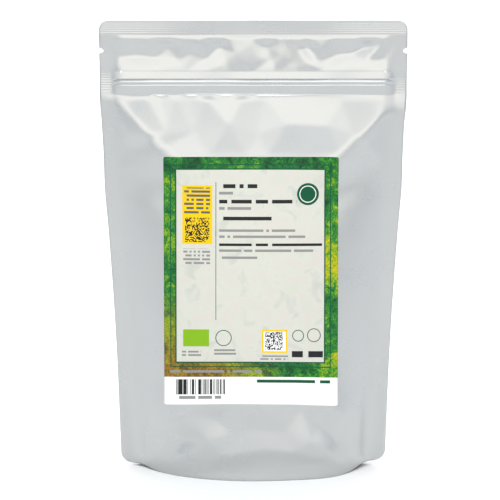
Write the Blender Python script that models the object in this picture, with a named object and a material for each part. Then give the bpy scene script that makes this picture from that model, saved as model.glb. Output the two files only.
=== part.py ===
"""A filled stand-up pouch of foil film: two walls, a gusset base, a press-to-close zip, a label and its load.

Metres, +Z up. The origin is on the ground under the middle of the pouch, and the labelled side faces -Y.
The film has a fixed width, so a wall that bows outwards draws its side seals closer together.
"""

import functools
import math
from collections import namedtuple

import bpy
import bmesh
from mathutils import Vector

# Driving dimensions
POUCH_HEIGHT = 0.282
FLAT_WIDTH = 0.190
SIDE_SEAL_WIDTH = 0.009
TOP_SEAL_HEIGHT = 0.0086
BASE_HALF_DEPTH = 0.0388
GUSSET_SEAL_MIDDLE = 0.010
GUSSET_SEAL_SIDE = 0.047
ZIP_HEIGHT = 0.246
NOTCH_HEIGHT = 0.2634
NOTCH_RADIUS = 0.0016
NOTCH_DEPTH = 0.0027
TOP_CORNER_RADIUS = 0.006
BASE_CORNER_RADIUS = 0.007
LABEL_WIDTH = 0.1078
LABEL_HEIGHT = 0.1518
LABEL_BOTTOM = 0.0472
LABEL_CORNER_DROP = 0.003
LABEL_MIDDLE = -0.0014
FILL_LEVEL = 0.150

# Film, and the gap that parts lying on each other keep
FILM = 0.0003
GAP = 0.0003
LABEL_STOCK = 0.0003

# Film between the side seals, measured from the middle of a wall
ARC_HALF = FLAT_WIDTH / 2 - SIDE_SEAL_WIDTH

# How the belly runs from the base up to the slanting shoulders under the zip
BELLY_RISE = 2.2
BELLY_ROUNDNESS = 0.84
SHOULDER_TOP = 0.2365
SHOULDER_SLOPE = 0.335
SHOULDER_ROUNDING = 0.004
SHOULDER_FOOT = 0.165
SHOULDER_BLEND = 0.035
STEEPEST_FLANK = 0.8
FLANK_ROUNDING = 0.25
STEEPEST_FILM = 0.97
FOOT_BULGE_HEIGHT = 0.055
GUSSET_SEAL_CURVE = 4.6
GUSSET_SEAL_MARGIN = 0.002
GUSSET_SEAL_FADE = 0.010
FLOOR_CLEARANCE = 0.0013
FLOOR_MOST_SLOPE = 1.25
EDGE_STRETCH = 1.5

# Half of the room between the walls where the zip lies. The empty head above it tapers to the top seal.
ZIP_ROOM = 0.00145
ROOM_RAMP = 0.0035
ZIP_FLANGE_BELOW = 0.0084
ZIP_FLANGE_ABOVE = 0.0056
ZIP_HALF_LENGTH = ARC_HALF - ROOM_RAMP - 0.0005

# The load's heaped top: the height of its dome, and how much higher one end and one side are
HEAP_DOME = 0.007
HEAP_TILT_X = 0.003
HEAP_TILT_Y = -0.002
LOAD_REACH = 0.90
LOAD_OVER_FLOOR = 0.97
LOAD_CLEARANCE = 0.0016

# One side of a wall: where its crease leaves the side seal, how far it runs in for each metre down, and how
# far the wall's foot bulges out there. A wall has one such flank to -X and one to +X.
Flank = namedtuple("Flank", "crease_top crease_spread foot_bulge")
Wall = namedtuple("Wall", "name facing flanks")
BACK = Wall("back_wall", -1, (Flank(0.2360, 0.90, 0.001), Flank(0.2295, 1.05, 0.011)))
FRONT = Wall("front_wall", 1, (Flank(0.2320, 0.95, 0.006), Flank(0.2365, 0.88, 0.007)))

# Mesh fineness
SECTION_STEPS = 172
NORMAL_STEP = 0.0008
WALL_STEPS = 20
FOOT_STEPS = 8
BELLY_STEPS = 15
CORNER_STEPS = 3
NOTCH_STEPS = 4
FLOOR_STEPS = 10
FLOOR_NORMAL_STEP = 0.02
LABEL_ROWS = 15
LABEL_COLUMNS = 14
LOAD_SLICES = 18
SKIRT_ROWS = (0.0, 0.14, 0.28, 0.43, 0.58, 0.72, 0.86)
FILL_SIDE_STEPS = 6


def clear_scene():
    """Removes whatever the file opened with."""
    for obj in list(bpy.data.objects):
        bpy.data.objects.remove(obj, do_unlink=True)


def ramp(value):
    """0 below 0, 1 above 1, and smooth between."""
    t = min(1.0, max(0.0, value))
    return t * t * (3 - 2 * t)


def between(low, high, steps):
    """Evenly spaced numbers from low to high, both ends in."""
    return [low + (high - low) * i / steps for i in range(steps + 1)]


# Shape of a wall

def soft_min(a, b, width):
    """The smaller of two values, rounded over where they are closer than width."""
    share = min(1.0, max(0.0, 0.5 + 0.5 * (b - a) / width))
    return b + (a - b) * share - width * share * (1 - share)


def belly_depth(z):
    """How far the middle of a wall bows out at a height: a round belly cut off by the slanting shoulder."""
    if z >= SHOULDER_TOP:
        return 0.0
    fall = (max(z, 0.0) / ZIP_HEIGHT) ** BELLY_RISE
    belly = BASE_HALF_DEPTH * (1 - fall) ** BELLY_ROUNDNESS
    slant = SHOULDER_SLOPE * (SHOULDER_TOP - z)
    return min(slant, soft_min(slant, belly, SHOULDER_ROUNDING))


def bow_angle(depth):
    """Half angle of the arc that film of fixed width makes when its middle stands out by depth."""
    low, high = 1e-4, 2.0
    for _ in range(50):
        middle = (low + high) / 2
        if ARC_HALF * (1 - math.cos(middle)) / middle < depth:
            low = middle
        else:
            high = middle
    return (low + high) / 2


def seal_gap(z):
    """Half of the space between the walls in the side seals: the folded gusset lies there, low down."""
    folded_gusset = GAP + FILM + GAP / 2
    share = 1 - ramp((z - GUSSET_SEAL_SIDE - GUSSET_SEAL_MARGIN) / GUSSET_SEAL_FADE)
    return GAP / 2 + (folded_gusset - GAP / 2) * share


def room(z):
    """Half of the flat room that the zip holds open."""
    high = ZIP_HEIGHT + ZIP_FLANGE_ABOVE
    into_zip = ramp((z - SHOULDER_FOOT) / (SHOULDER_TOP - SHOULDER_FOOT))
    into_head = ramp((z - high) / (POUCH_HEIGHT - TOP_SEAL_HEIGHT - high))
    return ZIP_ROOM * into_zip * (1 - into_head)


def film_edge(z):
    """Half of the film's width at a height, with its round corners and the tear notch."""
    half = FLAT_WIDTH / 2
    for corner_z, radius in ((0.0, BASE_CORNER_RADIUS), (POUCH_HEIGHT, TOP_CORNER_RADIUS)):
        into = radius - abs(z - corner_z)
        if into > 0:
            return half - radius + math.sqrt(max(0.0, radius**2 - into**2))
    from_notch = abs(z - NOTCH_HEIGHT) / NOTCH_RADIUS
    if from_notch < 1:
        return half - NOTCH_DEPTH * math.sqrt(1 - from_notch**2)
    return half


@functools.cache
def half_section(z, flank):
    """Half of a wall's cross-section at a height: distances along the film with the X and depth of each.

    Low down the film bows in an arc. On the shoulder it is flat in the middle and slants back to the seal
    from the crease on.
    """
    depth = belly_depth(z)
    along = between(0.0, ARC_HALF, SECTION_STEPS)
    if depth == 0:
        return [(s, s, 0.0) for s in along]
    theta = bow_angle(depth)
    radius = ARC_HALF / theta
    slant_width = max(ROOM_RAMP, depth / STEEPEST_FLANK, flank.crease_spread * (flank.crease_top - z))
    on_shoulder = ramp((z - SHOULDER_FOOT) / SHOULDER_BLEND)
    section = [(0.0, 0.0, depth)]
    for s in along[1:]:
        arc = radius * (math.cos(theta * s / ARC_HALF) - math.cos(theta))
        slanting = depth * (ARC_HALF - s) / slant_width
        folded = soft_min(depth, slanting, depth * FLANK_ROUNDING)
        y = arc + (folded - arc) * on_shoulder
        last_s, last_x, last_y = section[-1]
        step = s - last_s
        slope = min(STEEPEST_FILM, abs(y - last_y) / step)
        section.append((s, last_x + step * math.sqrt(1 - slope**2), y))
    return section


def face_point(s, z, wall):
    """X and distance from the middle plane of a wall's inner face, s along the film from its middle to +X.

    Both walls end at the same X in the side seals, where they are welded to each other.
    """
    side = 0 if s < 0 else 1
    flank = wall.flanks[side]
    section = half_section(z, flank)
    seal_x = half_section(z, BACK.flanks[side])[-1][1]
    stretch = seal_x / section[-1][1]
    reach = min(abs(s), ARC_HALF)
    place = reach / ARC_HALF * SECTION_STEPS
    i = min(int(place), SECTION_STEPS - 1)
    x = section[i][1] + (section[i + 1][1] - section[i][1]) * (place - i)
    y = section[i][2] + (section[i + 1][2] - section[i][2]) * (place - i)
    low_down = ramp(1 - z / FOOT_BULGE_HEIGHT)
    y += flank.foot_bulge * math.sin(math.pi * (reach / ARC_HALF) ** 1.5) ** 2 * low_down
    y += room(z) * ramp((ARC_HALF - abs(s)) / ROOM_RAMP) + seal_gap(z)
    return math.copysign(x * stretch + abs(s) - reach, s), y


def wall_point(s, z, wall, inward=0.0):
    """A point of a wall's inner face, or of a face that lies inward of it."""
    x, y = face_point(s, z, wall)
    before = face_point(s - NORMAL_STEP, z, wall)
    after = face_point(s + NORMAL_STEP, z, wall)
    run, rise = after[0] - before[0], after[1] - before[1]
    length = math.hypot(run, rise)
    return x + inward * rise / length, wall.facing * (y - inward * run / length), z


# Mesh tools

def film_rows():
    """Heights of the wall's rows of points, closer where the outline or the zip needs them."""
    turns = between(0.0, math.pi / 2, CORNER_STEPS)
    base = [BASE_CORNER_RADIUS * (1 - math.sin(t)) for t in reversed(turns)]
    top_start = POUCH_HEIGHT - TOP_CORNER_RADIUS
    top = [top_start + TOP_CORNER_RADIUS * math.sin(t) for t in turns]
    half_turn = between(-math.pi / 2, math.pi / 2, NOTCH_STEPS)
    notch = [NOTCH_HEIGHT + NOTCH_RADIUS * math.sin(t) for t in half_turn]
    high = ZIP_HEIGHT + ZIP_FLANGE_ABOVE
    foot = between(BASE_CORNER_RADIUS, FOOT_BULGE_HEIGHT, FOOT_STEPS)[1:]
    belly = between(FOOT_BULGE_HEIGHT, SHOULDER_TOP, BELLY_STEPS)[1:]
    zip_rows = [(SHOULDER_TOP + ZIP_HEIGHT) / 2, ZIP_HEIGHT, high, (high + notch[0]) / 2]
    above_notch = between(notch[-1], POUCH_HEIGHT - TOP_SEAL_HEIGHT, 3)[1:]
    return base + foot + belly + zip_rows + notch + above_notch + top


def film_columns():
    """Places across the film: the side seals, the ramps beside them and the bowed middle."""
    edge = FLAT_WIDTH / 2
    seal_middle = (ARC_HALF + edge) / 2
    inner = ARC_HALF - ROOM_RAMP
    middle = between(-inner, inner, WALL_STEPS)
    return [-edge, -seal_middle, -ARC_HALF, *middle, ARC_HALF, seal_middle, edge]


def trimmed(s, z):
    """A place across the film after its edge is cut: places in the side seals draw in with the edge."""
    if abs(s) <= ARC_HALF:
        return s
    share = (abs(s) - ARC_HALF) / SIDE_SEAL_WIDTH
    return math.copysign(ARC_HALF + share * (film_edge(z) - ARC_HALF), s)


def grid_mesh(name, rows):
    """A sheet from rows of points. With columns to the right and rows upward it faces -Y."""
    mesh = bpy.data.meshes.new(name)
    bm = bmesh.new()
    made = [[bm.verts.new(point) for point in row] for row in rows]
    for lower, upper in zip(made, made[1:]):
        for i in range(len(lower) - 1):
            bm.faces.new((lower[i], lower[i + 1], upper[i + 1], upper[i]))
    bm.to_mesh(mesh)
    bm.free()
    return mesh


def ring_mesh(name, rings):
    """A closed body skinned over rings of points, each end closed by strips between mirrored points."""
    mesh = bpy.data.meshes.new(name)
    bm = bmesh.new()
    made = [[bm.verts.new(point) for point in ring] for ring in rings]
    count = len(rings[0])
    for first, second in zip(made, made[1:]):
        for i in range(count):
            j = (i + 1) % count
            bm.faces.new((first[i], first[j], second[j], second[i]))
    for ring in (made[0], made[-1]):
        for i in range(count // 2 - 1):
            j = count - 1 - i
            bm.faces.new((ring[i], ring[i + 1], ring[j - 1], ring[j]))
    bmesh.ops.recalc_face_normals(bm, faces=bm.faces)
    bm.to_mesh(mesh)
    bm.free()
    return mesh


def place(name, mesh, material, parent):
    """Makes the object for a mesh, gives it its finish and hangs it under its parent."""
    mesh.materials.append(material)
    obj = bpy.data.objects.new(name, mesh)
    obj.parent = parent
    bpy.context.scene.collection.objects.link(obj)
    return obj


def thicken(obj, thickness):
    """Gives a sheet its thickness, all of it on the side that the sheet faces."""
    solid = obj.modifiers.new("film_thickness", "SOLIDIFY")
    solid.thickness = thickness
    solid.offset = 1.0
    solid.use_even_offset = True


def finish(name, colour, roughness, metallic=0.0):
    """A plain Principled finish."""
    material = bpy.data.materials.new(name)
    material.use_nodes = True
    shader = material.node_tree.nodes["Principled BSDF"]
    shader.inputs["Base Color"].default_value = (*colour, 1.0)
    shader.inputs["Roughness"].default_value = roughness
    shader.inputs["Metallic"].default_value = metallic
    return material


# Parts

def make_wall(wall, parent, material):
    """One wall: a film with its side seals, top seal and tear notches."""
    places = film_columns()
    if wall.facing > 0:
        places.reverse()
    rows = [[wall_point(trimmed(s, z), z, wall) for s in places] for z in film_rows()]
    mesh = grid_mesh(wall.name, rows)
    mesh.shade_smooth()
    thicken(place(wall.name, mesh, material, parent), FILM)


def gusset_seal_height(share):
    """Height of the curved seal of gusset to wall, at a share of the way from the middle to a side seal."""
    rise = GUSSET_SEAL_SIDE - GUSSET_SEAL_MIDDLE
    return GUSSET_SEAL_MIDDLE + rise * min(1.0, abs(share)) ** GUSSET_SEAL_CURVE


def floor_middle(s, share):
    """A point halfway through the gusset's floor, at a share of the way from its middle to either wall."""
    top = gusset_seal_height(s / ARC_HALF)
    back, front = (wall_point(trimmed(s, top), top, wall, GAP + FILM / 2) for wall in (BACK, FRONT))
    half_span = (front[1] - back[1]) / 2
    sag = min(top - FLOOR_CLEARANCE - FILM / 2, FLOOR_MOST_SLOPE * max(0.0, half_span - 2 * FILM))
    along = (share + 1) / 2
    x = back[0] + (front[0] - back[0]) * along
    y = back[1] + (front[1] - back[1]) * along
    return Vector((x, y, top - sag + sag * share**2))


def floor_point(s, share, offset):
    """A point of the gusset's floor, the offset above its middle along the film's own normal."""
    step = NORMAL_STEP
    along_s = floor_middle(s + step, share) - floor_middle(s - step, share)
    across = floor_middle(s, share + FLOOR_NORMAL_STEP) - floor_middle(s, share - FLOOR_NORMAL_STEP)
    return floor_middle(s, share) + along_s.cross(across).normalized() * offset


def gusset_section(s, side):
    """One cross-section of the gusset film: up the back wall, over the floor and down the front wall.

    side is +1 for the face towards the load and -1 for the underside.
    """
    top = gusset_seal_height(s / ARC_HALF)
    half = FILM / 2 * side
    inset = GAP + FILM / 2 - half
    back, front = ([wall_point(trimmed(s, share * top), share * top, wall, inset) for share in SKIRT_ROWS]
                   for wall in (BACK, FRONT))
    edge_height = top + half * EDGE_STRETCH
    back_edge, front_edge = ((*wall_point(trimmed(s, top), top, wall, inset)[:2], edge_height)
                             for wall in (BACK, FRONT))
    floor = [floor_point(s, share, half) for share in between(-1.0, 1.0, FLOOR_STEPS)[1:-1]]
    return back + [back_edge] + floor + [front_edge] + front[::-1]


def make_gusset(parent, material):
    """The base film, its skirt sealed to both walls up a curved line and its fold drawn open into a floor."""
    places = film_columns()
    bm = bmesh.new()
    faces_of = []
    for side in (1, -1):
        rows = [[bm.verts.new(p) for p in gusset_section(s, side)] for s in places]
        faces_of.append(rows)
        for first, second in zip(rows, rows[1:]):
            for i in range(len(first) - 1):
                bm.faces.new((first[i], first[i + 1], second[i + 1], second[i]))
    upper, under = faces_of
    for rows in ((upper[0], under[0]), (upper[-1], under[-1])):
        for i in range(len(rows[0]) - 1):
            bm.faces.new((rows[0][i], rows[0][i + 1], rows[1][i + 1], rows[1][i]))
    for edge in (0, -1):
        for i in range(len(places) - 1):
            bm.faces.new((upper[i][edge], upper[i + 1][edge], under[i + 1][edge], under[i][edge]))
    bmesh.ops.recalc_face_normals(bm, faces=bm.faces)
    mesh = bpy.data.meshes.new("bottom_gusset")
    bm.to_mesh(mesh)
    bm.free()
    place("bottom_gusset", mesh, material, parent)


def make_zip_profile(name, outline, parent, material):
    """One zip profile: its outline, in Y and height from the closing line, drawn out along the pouch."""
    mesh = bpy.data.meshes.new(name)
    bm = bmesh.new()
    corners = [bm.verts.new((-ZIP_HALF_LENGTH, y, ZIP_HEIGHT + dz)) for y, dz in outline]
    end = bm.faces.new(corners)
    drawn = bmesh.ops.extrude_face_region(bm, geom=[end])["geom"]
    moved = [item for item in drawn if isinstance(item, bmesh.types.BMVert)]
    bmesh.ops.translate(bm, verts=moved, vec=(2 * ZIP_HALF_LENGTH, 0, 0))
    bmesh.ops.triangulate(bm, faces=[face for face in bm.faces if len(face.verts) > 4])
    bmesh.ops.recalc_face_normals(bm, faces=bm.faces)
    bm.to_mesh(mesh)
    bm.free()
    place(name, mesh, material, parent)


def make_zip(parent, material):
    """The press-to-close zip: a groove profile on the back wall and, on the front one, the rib that fits it."""
    below, above = -ZIP_FLANGE_BELOW + 0.001, ZIP_FLANGE_ABOVE - 0.0004
    outer = ZIP_ROOM + GAP / 2 - GAP
    inner = outer - FILM
    jaw_tip, lip_back = 0.00055, 0.00020
    jaw_outside, jaw_inside, lip_inside = 0.0015, 0.0010, 0.00065
    upper_jaw = [
        (-inner, jaw_outside),
        (jaw_tip, jaw_outside),
        (jaw_tip, lip_inside),
        (lip_back, lip_inside),
        (lip_back, jaw_inside),
        (-inner, jaw_inside),
    ]
    lower_jaw = [(y, -dz) for y, dz in reversed(upper_jaw)]
    groove = [(-outer, below), (-outer, above), (-inner, above), *upper_jaw, *lower_jaw, (-inner, below)]
    stem, head, shoulder, tip = 0.0003, 0.0007, -0.00015, -0.0006
    upper_rib = [(inner, stem), (shoulder, stem), (shoulder, head), (tip, stem)]
    lower_rib = [(y, -dz) for y, dz in reversed(upper_rib)]
    rib = [(outer, below), (outer, above), (inner, above), *upper_rib, *lower_rib, (inner, below)]
    make_zip_profile("zip_groove_profile", groove, parent, material)
    make_zip_profile("zip_rib_profile", rib, parent, material)


def film_place_at(x, z, wall):
    """The place along a wall's film that stands at X = x at a height."""
    low, high = -ARC_HALF, ARC_HALF
    for _ in range(40):
        middle = (low + high) / 2
        if face_point(middle, z, wall)[0] < x:
            low = middle
        else:
            high = middle
    return (low + high) / 2


def make_label(parent, material):
    """The printed label, one sheet lying on the back wall. Seen from the back its sides stand upright.

    Its lower corners hang, because the film takes the shorter way down where the wall bows out less.
    """
    over_film = -(FILM + GAP)
    rows = []
    for up in between(0.0, 1.0, LABEL_ROWS):
        row = []
        for across in between(-1.0, 1.0, LABEL_COLUMNS):
            z = LABEL_BOTTOM + LABEL_HEIGHT * up - LABEL_CORNER_DROP * (1 - up) * across**2
            s = film_place_at(LABEL_MIDDLE + across * LABEL_WIDTH / 2, z, BACK)
            row.append(wall_point(s, z, BACK, over_film))
        rows.append(row)
    label = place("back_label", grid_mesh("back_label", rows), material, parent)
    thicken(label, LABEL_STOCK)


def heap_top(share_x, share_y):
    """Height of the load's loose top: a low heap, a little higher on one side."""
    dome = HEAP_DOME * (1 - share_x**2) * (1 - share_y**2 / 2)
    return FILL_LEVEL + dome + HEAP_TILT_X * share_x + HEAP_TILT_Y * share_y


def load_ring(s):
    """One cross-section of the load: down the back, over the floor, up the front and back over the heap."""
    share = s / ARC_HALF
    clear = 2 * FILM + 3 * GAP
    low = gusset_seal_height(share) + FILM + GAP
    down = [wall_point(s, z, BACK, clear) for z in between(heap_top(share, -1), low, FILL_SIDE_STEPS)]
    up = [wall_point(s, z, FRONT, clear) for z in between(low, heap_top(share, 1), FILL_SIDE_STEPS)]
    over = []
    for floor_share in between(-1.0, 1.0, FLOOR_STEPS)[1:-1]:
        x, y, z = floor_point(s, floor_share, FILM / 2 + LOAD_CLEARANCE)
        over.append((x, y * LOAD_OVER_FLOOR, z))
    back_over = []
    for k in range(FLOOR_STEPS - 1, 0, -1):
        along = k / FLOOR_STEPS
        x = down[0][0] + (up[-1][0] - down[0][0]) * along
        y = down[0][1] + (up[-1][1] - down[0][1]) * along
        back_over.append((x, y, heap_top(share, 2 * along - 1)))
    return down + over + up + back_over


def make_load(parent, material):
    """The load of pods as one settled mass, from the gusset floor up to its heaped top."""
    places = between(-LOAD_REACH * ARC_HALF, LOAD_REACH * ARC_HALF, LOAD_SLICES)
    rings = [load_ring(s) for s in places]
    shift = len(rings[0]) - (FLOOR_STEPS - 1) // 2
    rings = [ring[shift:] + ring[:shift] for ring in rings]
    place("pod_load", ring_mesh("pod_load", rings), material, parent)


def main():
    clear_scene()
    film = finish("foil_film", (0.72, 0.73, 0.73), 0.38, 0.75)
    zip_plastic = finish("zip_plastic", (0.86, 0.87, 0.86), 0.35)
    label_stock = finish("label_stock", (0.82, 0.84, 0.78), 0.55)
    pods = finish("cardamom_pods", (0.42, 0.50, 0.22), 0.75)
    pouch = bpy.data.objects.new("pouch", None)
    bpy.context.scene.collection.objects.link(pouch)
    make_wall(BACK, pouch, film)
    make_wall(FRONT, pouch, film)
    make_gusset(pouch, film)
    make_zip(pouch, zip_plastic)
    make_label(pouch, label_stock)
    make_load(pouch, pods)


main()
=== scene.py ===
"""Looks of a filled foil stand-up pouch: creased film walls, gusset base, printed label and a heap of pods.

Every piece stands in the shared frame, in metres. The labelled back of the pouch faces -Y, as in the
photograph.
"""

from __future__ import annotations

import functools
import logging
import math
from dataclasses import dataclass
from enum import Enum

import bpy
import numpy as np
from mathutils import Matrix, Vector
from mathutils.geometry import delaunay_2d_cdt

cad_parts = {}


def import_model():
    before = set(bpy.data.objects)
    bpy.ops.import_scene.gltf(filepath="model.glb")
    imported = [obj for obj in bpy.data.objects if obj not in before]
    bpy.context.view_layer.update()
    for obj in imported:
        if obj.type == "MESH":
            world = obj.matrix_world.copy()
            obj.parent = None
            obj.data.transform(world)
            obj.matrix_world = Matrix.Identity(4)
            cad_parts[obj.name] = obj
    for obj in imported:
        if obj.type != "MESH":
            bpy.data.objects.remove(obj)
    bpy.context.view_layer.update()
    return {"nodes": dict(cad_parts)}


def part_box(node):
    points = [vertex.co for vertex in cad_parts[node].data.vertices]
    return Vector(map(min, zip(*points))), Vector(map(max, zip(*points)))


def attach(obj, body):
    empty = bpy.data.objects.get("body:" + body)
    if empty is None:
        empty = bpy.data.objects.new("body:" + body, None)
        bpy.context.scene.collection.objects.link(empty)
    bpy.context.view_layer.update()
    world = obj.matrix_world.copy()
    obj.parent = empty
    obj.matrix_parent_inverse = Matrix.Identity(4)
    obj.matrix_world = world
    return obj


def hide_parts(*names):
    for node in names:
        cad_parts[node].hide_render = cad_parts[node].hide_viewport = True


LOG = logging.getLogger("pouch")

MM = 0.001
BODY = "root"

# How far the outside of the solids' thicker film stands off the load, low down
SOLID_STACK = 1.05 * MM

Array = np.ndarray
Socket = bpy.types.NodeSocket
Inputs = dict[str | int, object]
Colour = tuple[float, float, float]


def ease(value: Array | float) -> Array:
    """0 below 0, 1 above 1, and smooth between."""
    t = np.clip(value, 0.0, 1.0)
    return t * t * (3 - 2 * t)


def soft_min(a: Array, b: Array, width: float) -> Array:
    """The smaller of two values, rounded over where they are closer than width."""
    share = np.clip(0.5 + 0.5 * (b - a) / width, 0.0, 1.0)
    return b + (a - b) * share - width * share * (1 - share)


def line_blurred(line: Array, sigma: float) -> Array:
    """Blurs a line of values, by a spread given in steps of the line."""
    reach = max(1, int(3 * sigma))
    kernel = np.exp(-0.5 * (np.arange(-reach, reach + 1) / sigma) ** 2)
    return np.convolve(np.pad(line, reach, mode="edge"), kernel / kernel.sum(), "valid")


def blurred(grid: Array, sigma: float) -> Array:
    """Blurs a grid of values.

    Args:
        grid: Values, one row for each height.
        sigma: Spread of the blur, in cells.

    Returns:
        The blurred grid, of the same size.
    """
    for axis in (0, 1):
        grid = np.apply_along_axis(line_blurred, axis, grid, sigma)
    return grid


def bilinear(grid: Array, row: Array, column: Array) -> Array:
    """Reads a grid between its cells.

    Args:
        grid: Values.
        row: Rows to read at, whole or not.
        column: Columns to read at.

    Returns:
        The value at each place.
    """
    row = np.clip(row, 0, grid.shape[0] - 1.001)
    column = np.clip(column, 0, grid.shape[1] - 1.001)
    i, j = row.astype(int), column.astype(int)
    di, dj = row - i, column - j
    near = grid[i, j] * (1 - dj) + grid[i, j + 1] * dj
    far = grid[i + 1, j] * (1 - dj) + grid[i + 1, j + 1] * dj
    return near * (1 - di) + far * di


class Side(Enum):
    """The two walls of the pouch, by the Y direction that each faces."""

    BACK = -1
    FRONT = 1


@dataclass(frozen=True)
class Fold:
    """A corner of the film's folds: its place on the wall and how far it stands out, in millimetres."""

    x: float
    z: float
    out: float


def folds_at(*places: tuple[float, float, float]) -> list[Fold]:
    """Corners of folds, each from its place across and up the wall and how far it stands out."""
    return [Fold(*place) for place in places]


# Between corners the film is flat, so three corners make a facet. Both walls share the folds of the head.
HEAD_FOLDS = folds_at(
    (-82, 260, -1.2), (-70, 261, -1.5), (-59, 260, -1.3), (-76, 266, -0.5), (-66, 267, 0.2),
    (-53, 266, -1.3), (-46, 258, -0.7), (-44, 268, 0.2), (-38, 262, -0.5), (-32, 268, 0.5),
    (-29, 258.5, -1.0), (-21, 266, -1.4), (-17, 257, -0.3), (-11, 262, 0.6), (-5, 256, 0.3),
    (-1, 267, 0.6), (3, 259, 0.1), (8, 266, -0.7), (11, 258, -0.7), (17, 261, 0.4), (21, 267, 0.2),
    (25, 257, -0.3), (28, 264, 0.2), (33, 266, -1.2), (33, 255.5, 0.3), (40, 257, -0.4), (42, 265, 0.5),
    (52, 261, -1.4), (55, 268, -0.2), (61, 262, -1.2), (69, 266, -2.3), (70, 257.5, -0.7), (77, 265, 0.0),
    (80, 258, -1.1),
)
HEAD_FOLDS += [Fold(x, 251.5, 0.0) for x in range(-84, 85, 14)]
HEAD_FOLDS += [Fold(x, 270.5, 0.4) for x in range(-80, 81, 16)]
BELLY_FOLDS = folds_at(
    (-74, 234, -0.6), (-66, 235.5, -0.5), (-58, 235.5, 0.8), (-49, 234.5, -0.3), (-38, 235.5, 0.8),
    (-29, 234.5, -0.4), (-17, 235.5, 0.9), (-6, 234.5, -0.3), (6, 235.5, 0.8), (-15, 219, -0.8),
    (-28, 199, 0.5), (-4, 199, 0.6), (-36, 214, 0.7), (3, 213, 0.6), (21, 219, -1.05), (45, 218, -1.05),
    (9, 199, 0.6), (30, 198, 0.8), (54, 200, 0.7), (61, 213, 0.6), (-77, 212, 0.5), (-72, 204, -0.3),
    (-81, 205, -0.2), (79, 199, 0.7), (72, 193, -0.3), (81, 190, -0.1),
)
BASE_FOLDS = folds_at(
    (-44, 24, -1.2), (-21.5, 37.5, -1.0), (-15, 45, -0.5), (-46, 40, 0.5), (-32, 50, 0.4), (-29, 25, 0.7),
    (-14, 30, -0.24), (-38, 17, 0.36), (-19, 15.5, 0.48), (-19, 10, 0.0), (0, 32, -0.24), (20, 31, -0.24),
    (9, 19.5, 0.6), (25, 17.5, 0.6), (9, 13, -0.12), (26, 11.5, -0.12), (30, 44, -0.9), (43, 32, -1.3),
    (55, 22, -1.2), (36.5, 24.5, 0.9), (46, 20, 0.8), (38, 14, 0.48), (59, 38, 0.4), (46, 50, 0.3),
    (62, 31, -0.5), (-54, 39, 0.6), (-54, 34, -0.12), (-65, 33, 0.6), (-65, 29.5, -0.24),
)


class FoldField:
    """How far the creased film stands out from its smooth shape, over the whole wall."""

    STEP = 1.0 * MM

    def __init__(self, folds: list[Fold], width: float, height: float, softness: float) -> None:
        """Spans the folds' corners with flat facets and softens the creases between them.

        Args:
            folds: Corners of the facets.
            width: Half width of the film, in metres.
            height: Height of the film, in metres.
            softness: Spread of a crease, in metres.
        """
        self.low = np.array((-width, 0.0))
        self.shape = (int(height / self.STEP) + 2, int(2 * width / self.STEP) + 2)
        grid = self._facets(folds, width, height)
        self.sharp = blurred(grid, softness / self.STEP)

    def _facets(self, folds: list[Fold], width: float, height: float) -> Array:
        """The facets between the corners, as a grid of heights over the wall."""
        rim = [(-width, 0.0), (width, 0.0), (-width, height), (width, height)]
        places = [Vector((f.x * MM, f.z * MM)) for f in folds] + [Vector(p) for p in rim]
        out = [f.out * MM for f in folds] + [0.0] * len(rim)
        corners, _, faces, sources, _, _ = delaunay_2d_cdt(places, [], [], 0, 1e-7, True)
        heights = [out[source[0]] if source else 0.0 for source in sources]
        grid = np.zeros(self.shape)
        for face in faces:
            a, b, c = (np.array(corners[i]) for i in face[:3])
            self._fill(grid, (a, b, c), [heights[i] for i in face[:3]])
        return grid

    def _fill(self, grid: Array, corners: tuple[Array, Array, Array], heights: list[float]) -> None:
        """Writes one flat facet into the grid.

        Args:
            grid: The grid to write to.
            corners: The facet's three corners on the wall.
            heights: How far each corner stands out.
        """
        a, b, c = [(corner - self.low) / self.STEP for corner in corners]
        low = np.floor(np.minimum(np.minimum(a, b), c)).astype(int)
        high = np.ceil(np.maximum(np.maximum(a, b), c)).astype(int) + 1
        low = np.maximum(low, 0)
        high = np.minimum(high, (self.shape[1], self.shape[0]))
        xs, zs = np.meshgrid(np.arange(low[0], high[0]), np.arange(low[1], high[1]))
        area = (b[0] - a[0]) * (c[1] - a[1]) - (c[0] - a[0]) * (b[1] - a[1])
        if abs(area) < 1e-9 or xs.size == 0:
            return
        share_b = ((xs - a[0]) * (c[1] - a[1]) - (c[0] - a[0]) * (zs - a[1])) / area
        share_c = ((b[0] - a[0]) * (zs - a[1]) - (xs - a[0]) * (b[1] - a[1])) / area
        share_a = 1 - share_b - share_c
        slack = -1e-6
        inside = (share_a >= slack) & (share_b >= slack) & (share_c >= slack)
        value = share_a * heights[0] + share_b * heights[1] + share_c * heights[2]
        grid[zs[inside], xs[inside]] = value[inside]

    def at(self, s: Array, z: Array, smoothing: float = 0.0) -> Array:
        """Reads the field.

        Args:
            s: Places across the film.
            z: Heights.
            smoothing: Further blur, in metres.

        Returns:
            How far the film stands out at each place.
        """
        grid = blurred(self.sharp, smoothing / self.STEP) if smoothing else self.sharp
        return bilinear(grid, (z - self.low[1]) / self.STEP, (s - self.low[0]) / self.STEP)


@dataclass(frozen=True)
class Flank:
    """One side of a wall: its slanting crease from the zip's end, and how far its foot bulges out."""

    top: float
    spread: float
    flare: float


FLANKS = {
    Side.BACK: (Flank(236.0 * MM, 0.90, 1.0 * MM), Flank(229.5 * MM, 1.05, 5.5 * MM)),
    Side.FRONT: (Flank(232.0 * MM, 0.95, 6.0 * MM), Flank(236.5 * MM, 0.88, 7.0 * MM)),
}


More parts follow.
